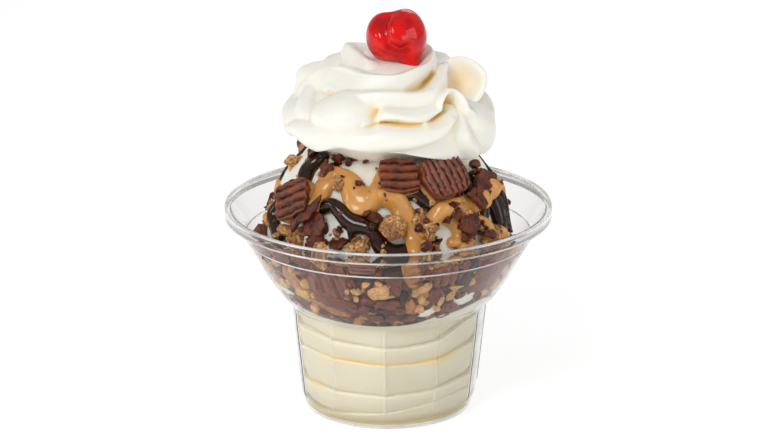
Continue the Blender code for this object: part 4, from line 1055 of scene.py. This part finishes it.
# each fold: how thin its crest is (0 is full, 1 is a blade), then along it the azimuth and
# elevation, how far it spreads above and below, and how far it stands out
cream_folds = [
    (0.0, [(-84, -4, 1.5, 2, 2), (-69, -3, 2, 2.4, 3.8), (-59, 0, 3, 3.6, 4.6), (-45, -1, 4.6, 5, 4.8),
           (-38, -2, 4.8, 5, 4.6), (-30, 0, 4, 3.8, 4.2), (-16, 0, 4, 4, 4.4), (-1, 2, 4.2, 4.2, 4.4),
           (12, 2, 3.8, 3.8, 4.2), (20, 3, 3.4, 3.4, 4.2), (28, 5, 2.8, 3, 4), (35, 9, 2, 2.2, 4),
           (40, 12, 1.4, 1.8, 3.6), (43, 16, 1.2, 1.5, 2.4)]),
    (0.5, [(46, 9, 3, 3, 1.6), (46, 2, 3.4, 3.4, 2.4), (48, -5, 3.6, 3.6, 2.8), (56, -13, 4, 4, 2.6)]),
    (0.2, [(57, 10, 4, 4, 2), (63, 4, 6, 6, 3), (71, -3, 8, 8, 3.4), (76, -10, 8, 8, 3)]),
    (0.0, [(-42, 12, 5.6, 5.2, 4.6), (-34, 14, 7.6, 6.2, 6.0), (-26, 15, 7.6, 6.2, 5.8), (-20, 14, 6.4, 5.6, 4.4), (-15.5, 13, 4.4, 4.2, 2.4)]),
    (0.1, [(-72, 20, 3, 3, 2.6), (-64, 12, 3.4, 3.4, 3.6), (-54, 7, 3, 3, 3)]),
    (0.0, [(-86, 3, 5.4, 5.4, 2.8), (-74, 3, 5.4, 5.4, 3.4), (-62, 7, 4, 4, 3)]),
    (0.8, [(-84, 15, 3, 5, 2), (-77, 27, 3.4, 7, 4.2), (-73, 34, 4, 9, 5), (-65, 41, 4, 10, 4.4),
           (-48, 44, 4, 11, 4.2), (-30, 42, 4, 11, 4.4), (-16, 41, 4, 9, 5), (7, 41, 4, 8, 5.4), (26, 45, 4, 7, 5.4),
           (48, 49, 3.4, 6, 4.6), (70, 55, 3.4, 6, 3.8), (95, 57, 3.4, 6, 3.6), (125, 55, 4, 7, 3.8), (160, 50, 4, 8, 4)]),
    (0.7, [(-43, 23, 2, 3, 2.4), (-30, 25, 2.4, 4, 3.6), (-19, 26.5, 3, 6, 4.4), (-7, 28, 3, 7, 4.8), (5, 28, 3, 7, 4.8),
           (14, 27, 3, 7, 4.8), (22, 26.5, 3, 6.4, 5), (32, 28, 3, 6, 5.4), (46, 35, 2.8, 5, 5.6), (62, 41, 2.6, 4, 5),
           (76, 44, 2.6, 4, 3.6)]),
    (0.2, [(-7, 13, 2, 2, 2.6), (-3, 15, 2.4, 2.6, 4.4), (4, 14.4, 2.6, 2.8, 4.2), (13, 13.4, 3, 3, 3.4), (22, 14.4, 3, 3, 2.8),
           (30, 17.5, 3, 3, 2.4)]),
    (0.55, [(32, 16, 2, 2, 3), (33, 20, 2, 2.2, 4.8), (37, 24, 2, 2.4, 5.8), (43, 25.4, 2, 2.2, 6), (48, 22, 2, 2, 5.6),
            (50, 17, 2, 2, 4.8), (51, 12.5, 2, 2, 4), (56, 9, 2, 2, 3)]),
    (0.5, [(-102, 42, 4, 4, 2), (-98, 34, 4.4, 4.4, 5), (-93, 26, 4, 4.4, 6.6), (-88, 19, 3, 3.4, 4), (-84, 13, 3, 3, 2)]),
    (0.6, [(-150, 50, 4, 6, 3.4), (-122, 54, 4, 6, 4.6), (-102, 57, 4.6, 6, 5.2), (-84, 60, 4.6, 6, 4.4), (-60, 62, 4, 6, 2.6),
           (-36, 60, 4, 5, 1.8)]),
    (0.3, [(-30, -7, 2, 2, 1.6), (-25, -5.4, 2, 2, 2.8), (-20, -7, 1.8, 1.8, 2.6), (-12, -6.4, 1.8, 1.8, 1.6)]),
    (0.0, [(92, -4, 5, 5, 2.0), (114, 0, 5.6, 5.6, 4.0), (140, 1, 5.6, 5.6, 4.6), (170, -1, 5.6, 5.6, 4.4),
           (200, 2, 5.6, 5.6, 4.6), (230, 1, 5.6, 5.6, 4.6), (258, -3, 5, 5, 4)]),
    (0.4, [(104, 12, 5, 6, 1.6), (116, 14, 5, 6, 3), (134, 13, 5, 6, 4.6), (160, 17, 5, 6, 4.6), (190, 14, 5, 6, 4.6),
           (220, 18, 5, 6, 4.8), (246, 15, 5, 5, 3.4), (262, 13, 4, 4, 1.6)]),
    (0.6, [(106, 38, 4, 6, 1.6), (130, 34, 4, 8, 4.2), (160, 30, 4, 8, 4.8), (190, 34, 4, 8, 4.8), (222, 31, 4, 8, 4.8),
           (246, 34, 4, 7, 3.4), (258, 32, 4, 6, 1.4)])]
# where it stays open between folds: azimuth, elevation, half width, depth
cream_hollows = [
    [(-11, 19, 2.6, 0.8), (-10, 14, 3.2, 2), (-10.5, 9, 2.6, 1.2)],
    [(-5, 10, 1.5, 1.4), (3, 9.6, 1.8, 2.6), (10, 8.6, 1.5, 2.2), (18, 8, 1.2, 1.2)],
    [(24, 8.4, 1.5, 1.2), (32, 11, 1.8, 2.4), (38, 14, 1.8, 2.4)],
    [(13, 29.5, 2, 0.8), (24, 33, 2.6, 2.0), (38, 38, 2.6, 3.2), (50, 43, 2.2, 2.4)],
    [(42, 20.5, 2.4, 2.4), (42, 16.5, 2.4, 3), (39, 12.5, 2, 2)], [(60, 33, 4.5, 2.6), (66, 29, 6, 3.6), (76, 24, 8, 5.4), (92, 16, 8, 4)],
    [(-54, 24, 2, 1), (-48, 23.4, 1.8, 1.6), (-43, 22.6, 1.4, 0.8)],
    [(-84, -9, 2.0, 1.4), (-76, -9.4, 2.8, 3.4), (-68, -10, 2.8, 3.0), (-61, -9, 1.8, 1.2)],
    [(120, 8, 3, 1.6), (140, 7, 3, 2.2), (160, 9, 3, 1.6)], [(200, 24, 3, 1.6), (218, 25, 3, 2.4), (236, 24, 3, 1.6)]]


def beside(route, aims, radius):
    """For each direction: the route's numbers at the place nearest to it, how far off that lies
    in millimetres, and which side of the route it is on, from -1 below to 1 above."""
    spots = aimed(route[:, 0], route[:, 1])
    ahead = np.gradient(spots, axis=0)
    ahead /= np.linalg.norm(ahead, axis=1)[:, None]
    over = np.cross(spots, ahead)
    over *= np.where(np.sum(over[:, 2]) < 0, -1.0, 1.0)
    nearest = np.argmax(aims @ spots.T, axis=1)
    step = aims - spots[nearest]
    along = np.einsum("ij,ij->i", step, ahead[nearest])
    along = np.where(nearest == 0, np.maximum(along, 0), along)
    along = np.where(nearest == len(spots) - 1, np.minimum(along, 0), along)
    at = nearest + along / np.linalg.norm(spots[1] - spots[0])
    off = np.sqrt(np.maximum(np.sum(step ** 2, axis=1) - along ** 2, 0))
    side = np.einsum("ij,ij->i", step, over[nearest]) / np.maximum(off, 1e-6)
    there = [np.interp(at, np.arange(len(route)), route[:, k]) for k in range(2, route.shape[1])]
    return there, off * radius, np.clip(side, -1, 1)


turns = np.arange(CREAM_COLUMNS) * 360.0 / CREAM_COLUMNS - 180.0
lifts = np.concatenate([[-90, -75, -60, -45, -36, -30, -26], np.linspace(-23, 88.5, CREAM_ROWS), [90]])
aims = aimed(turns, lifts[:, None])
flat_aims = aims.reshape(-1, 3)
body = np.interp(lifts, cream_body[:, 0], cream_body[:, 1])[:, None] + 0 * turns
folded = np.exp(0.0 * body)
for thinness, knots in cream_folds:
    route, run = smooth_route(knots, 1.2)
    (above, below, stands), off, side = beside(route, flat_aims, 30.0)
    share = np.clip(off / (above * (1 + side) / 2 + below * (1 - side) / 2), 0, 1)
    rise = stands * (1 - share ** (2 - thinness)) ** (0.5 + thinness)
    folded += np.exp(CREAM_BLEND * rise).reshape(body.shape) - 1
level = body + np.log(folded) / CREAM_BLEND
opened = np.zeros(body.shape)
for knots in cream_hollows:
    route, run = smooth_route(knots, 1.2)
    (reach, deep), off, side = beside(route, flat_aims, 30.0)
    share = np.clip(off / reach, 0, 1)
    opened = np.maximum(opened, (deep * (1 - share ** 2) ** 1.5).reshape(body.shape))
level = level - opened
hem = np.interp(turns, cream_hem[:, 0], cream_hem[:, 1])
hem = CREAM_REST + (hem - CREAM_REST) * ease((lifts[:, None] + 60) / 40)
drop = np.sin(np.radians(np.minimum(lifts, -0.01)))[:, None]
underside = (hem - CREAM_CENTRE[2]) / drop
level = -np.log(np.exp(-1.6 * np.minimum(underside, 80)) + np.exp(-1.6 * level)) / 1.6
level[[0, -1]] = level[[0, -1]].mean(axis=1, keepdims=True)


def blurred(values, reach):
    """Each value averaged with those up to reach rows and columns away, wrapping round."""
    for axis, mode in ((1, "wrap"), (0, "edge")):
        padded = np.pad(values, [(reach, reach) if k == axis else (0, 0) for k in (0, 1)], mode)
        windows = np.lib.stride_tricks.sliding_window_view(padded, 2 * reach + 1, axis=axis)
        values = windows.mean(axis=-1)
    return values


# painted shade: where the surface lies below its blurred self, between folds and under the curls, it is tinted amber in
# place of the shade and glow there
hollow = np.clip((blurred(level, 6) - level - 0.1) / 1.2, 0, 1) * (lifts[:, None] > -14)
hollow = hollow * (0.3 + 0.7 * np.clip(opened / 1.2, 0, 1))
points, faces = closed_surface(CREAM_CENTRE + aims * level[..., None])
hollow = np.concatenate([hollow[:1, 0], hollow[1:-1].ravel(), hollow[-1:, 0]])
parts = [(points, faces, hollow)]

# the soft heart that the rosette rests on, and the petal: a shallow dish with a full rim
heart = aimed(np.arange(0, 360, 6), np.linspace(-90, 90, 24)[:, None]) * (27.0, 27.0, 9.0) + (0, 0, 98.0)
points, faces = closed_surface(heart)
parts.append((points, faces, np.zeros(len(points))))
PETAL_CENTRE = np.array([23.6, -6.6, 116.3])
PETAL_FACES = Vector((-0.1, -0.9, 0.36)).normalized()
petal_line = np.array([(0.0, -2.4), (5.0, -2.2), (8.2, -1.2), (9.4, 0.6), (9.0, 1.7), (7.6, 1.5), (4.5, -0.1), (0.0, -0.9)])
petal_line = rounded(petal_line, np.full(6, 1.6))
petal_x = np.array(PETAL_FACES.cross(Vector((0, 0, 1))).normalized())
petal_y = np.cross(petal_x, PETAL_FACES)
spin = np.radians(np.arange(0, 360, 6))
out = petal_line[:, :1] * (1 + 0.05 * np.cos(2 * spin + 0.6) + 0.02 * np.sin(5 * spin))
grid = (PETAL_CENTRE + petal_x * (out * np.cos(spin))[..., None] + petal_y * (out * np.sin(spin))[..., None]
        + np.array(PETAL_FACES) * petal_line[:, 1:, None])
points, faces = closed_surface(grid)
# painted shade: the petal's middle takes the same amber
middle = np.clip(1 - np.linalg.norm(points - PETAL_CENTRE, axis=1) / 8.0, 0, 1) * 0.8
parts.append((points, faces, middle))
points, faces, hollow = joined(parts)

whipped_cream, place = new_finish("whipped_cream")
airy = place.noise(0.6, 3.0)
smooth_tone = place.noise(12.0, 1.0).mix(colour(253, 249, 240), colour(250, 244, 231))
close_finish(place, {
    # painted shade: amber in the hollows and the petal's middle
    "Base Color": place.shade("hollow").mix(smooth_tone, colour(243, 213, 150)),
    "Roughness": 0.42, "Subsurface Weight": 0.7, "Subsurface Radius": (1.0, 0.8, 0.5),
    "Subsurface Scale": 0.0014, "Normal": place.bump(airy, 0.05, 0.3)})
new_piece("cream_rosette", points, faces, whipped_cream, "whipped_cream", ["whipped_cream"], hollow=hollow)

# ------------------------------------------------------------------ cherry
# A stoned maraschino cherry, soaked through with red syrup: glossy, a little clear, sunk where
# the stalk was, and with a flat side framed by a low fold where the stone came out.
CHERRY_CENTRE = np.array([2.8, -3.0, 131.2])
CHERRY_RADIUS = 10.2
cherry_marks = [              # direction, angular width, change of radius
    ((-0.24, -0.50, 0.88), 14.0, -0.13), ((-0.13, 0.25, 0.95), 18.0, -0.16), ((0.34, -0.88, 0.2), 22.0, -0.05),
    ((0.40, 0.1, 1.0), 18.0, 0.05), ((-0.75, -0.2, 0.55), 24.0, 0.04), ((0.50, -0.46, -0.74), 13.0, 0.26),
    ((-0.16, -0.4, -0.92), 24.0, -0.15)]
cherry_folds = [              # directions from end to end, half width in degrees, change of radius
    (((-0.40, -0.30, 0.87), (-0.48, -0.60, 0.64), (-0.36, -0.88, 0.33), (-0.26, -0.97, -0.01), (0.08, -0.98, -0.17),
      (0.35, -0.93, -0.14)), 7.5, -0.16),
    (((-0.14, -0.55, 0.82), (-0.24, -0.84, 0.50), (-0.14, -0.97, 0.20), (0.10, -0.99, 0.02)), 9.0, 0.07)]
tilt = np.linspace(-90, 90, 120)[:, None]
aims = aimed(np.arange(0, 360, 2), tilt)
reach = np.full(aims.shape[:2], 1.0)
for toward, width, change in cherry_marks:
    away = np.degrees(np.arccos(np.clip(aims @ (np.array(toward) / np.linalg.norm(toward)), -1, 1)))
    reach += change * np.exp(-0.5 * (away / width) ** 2)
for towards, width, change in cherry_folds:
    towards = np.array(towards)
    share = np.linspace(0, len(towards) - 1, 40)
    line = np.stack([np.interp(share, np.arange(len(towards)), towards[:, k]) for k in range(3)], -1)
    line /= np.linalg.norm(line, axis=1)[:, None]
    away = np.degrees(np.arccos(np.clip(np.max(aims @ line.T, axis=-1), -1, 1)))
    reach += change * np.exp(-0.5 * (away / width) ** 2)
points, faces = closed_surface(CHERRY_CENTRE + aims * (CHERRY_RADIUS * reach)[..., None])

cherry_skin, place = new_finish("cherry_skin")
close_finish(place, {
    "Base Color": place.noise(5.0, 1.0).between(0.35, 0.65).mix(colour(228, 3, 8), colour(190, 1, 5)), "Roughness": 0.06,
    "Subsurface Weight": 0.3, "Subsurface Radius": (1.0, 0.03, 0.02), "Subsurface Scale": 0.005,
    "Specular IOR Level": 0.4,
    "Normal": place.bump(place.noise(3.0, 1.0), 0.12, 0.5)})
new_piece("glazed_cherry", points, faces, cherry_skin, "cherry_skin", ["cherry"])

# ------------------------------------------------------------------ table and light
# A pale studio table that runs up out of sight, a white room and soft boxes to the left and above.
FLOOR_HALF = 3000.0
FLOOR_LEVEL = -0.05
corners = np.array([(-1, -1), (1, -1), (1, 1), (-1, 1)]) * FLOOR_HALF
floor_mesh = bpy.data.meshes.new("table")
floor_mesh.from_pydata([(x * MM, y * MM, FLOOR_LEVEL * MM) for x, y in corners.tolist()], [], [(0, 1, 2, 3)])
table_top, place = new_finish("table_top")
close_finish(place, {"Base Color": place.noise(400.0, 1.0).mix((0.42, 0.42, 0.42, 1), (0.4, 0.4, 0.4, 1)),
                     "Roughness": 0.7, "Emission Color": (1.0, 1.0, 1.0, 1.0), "Emission Strength": 0.72})
floor_mesh.materials.append(table_top)
table = bpy.data.objects.new("table", floor_mesh)
bpy.context.scene.collection.objects.link(table)

world = bpy.data.worlds.new("white_room")
world.use_nodes = True
world.node_tree.nodes["Background"].inputs["Color"].default_value = (1.0, 1.0, 1.0, 1.0)
world.node_tree.nodes["Background"].inputs["Strength"].default_value = 0.42
bpy.context.scene.world = world
bpy.context.scene.view_settings.view_transform = "Standard"

soft_boxes = [                # name, place, size, power in watts
    ("key_box", (-320, -560, 580), 300, 2.5), ("fill_box", (560, -300, 300), 360, 0.7),
    ("back_box", (150, 620, 520), 400, 0.9), ("side_box", (-640, -220, 280), 120, 0.36)]
for name, spot, size, power in soft_boxes:
    lamp = bpy.data.lights.new(name, "AREA")
    lamp.size = size * MM
    lamp.energy = power
    box = bpy.data.objects.new(name, lamp)
    box.location = Vector(spot) * MM
    box.rotation_euler = (Vector(spot) - Vector(AIM)).to_track_quat("Z", "Y").to_euler()
    bpy.context.scene.collection.objects.link(box)
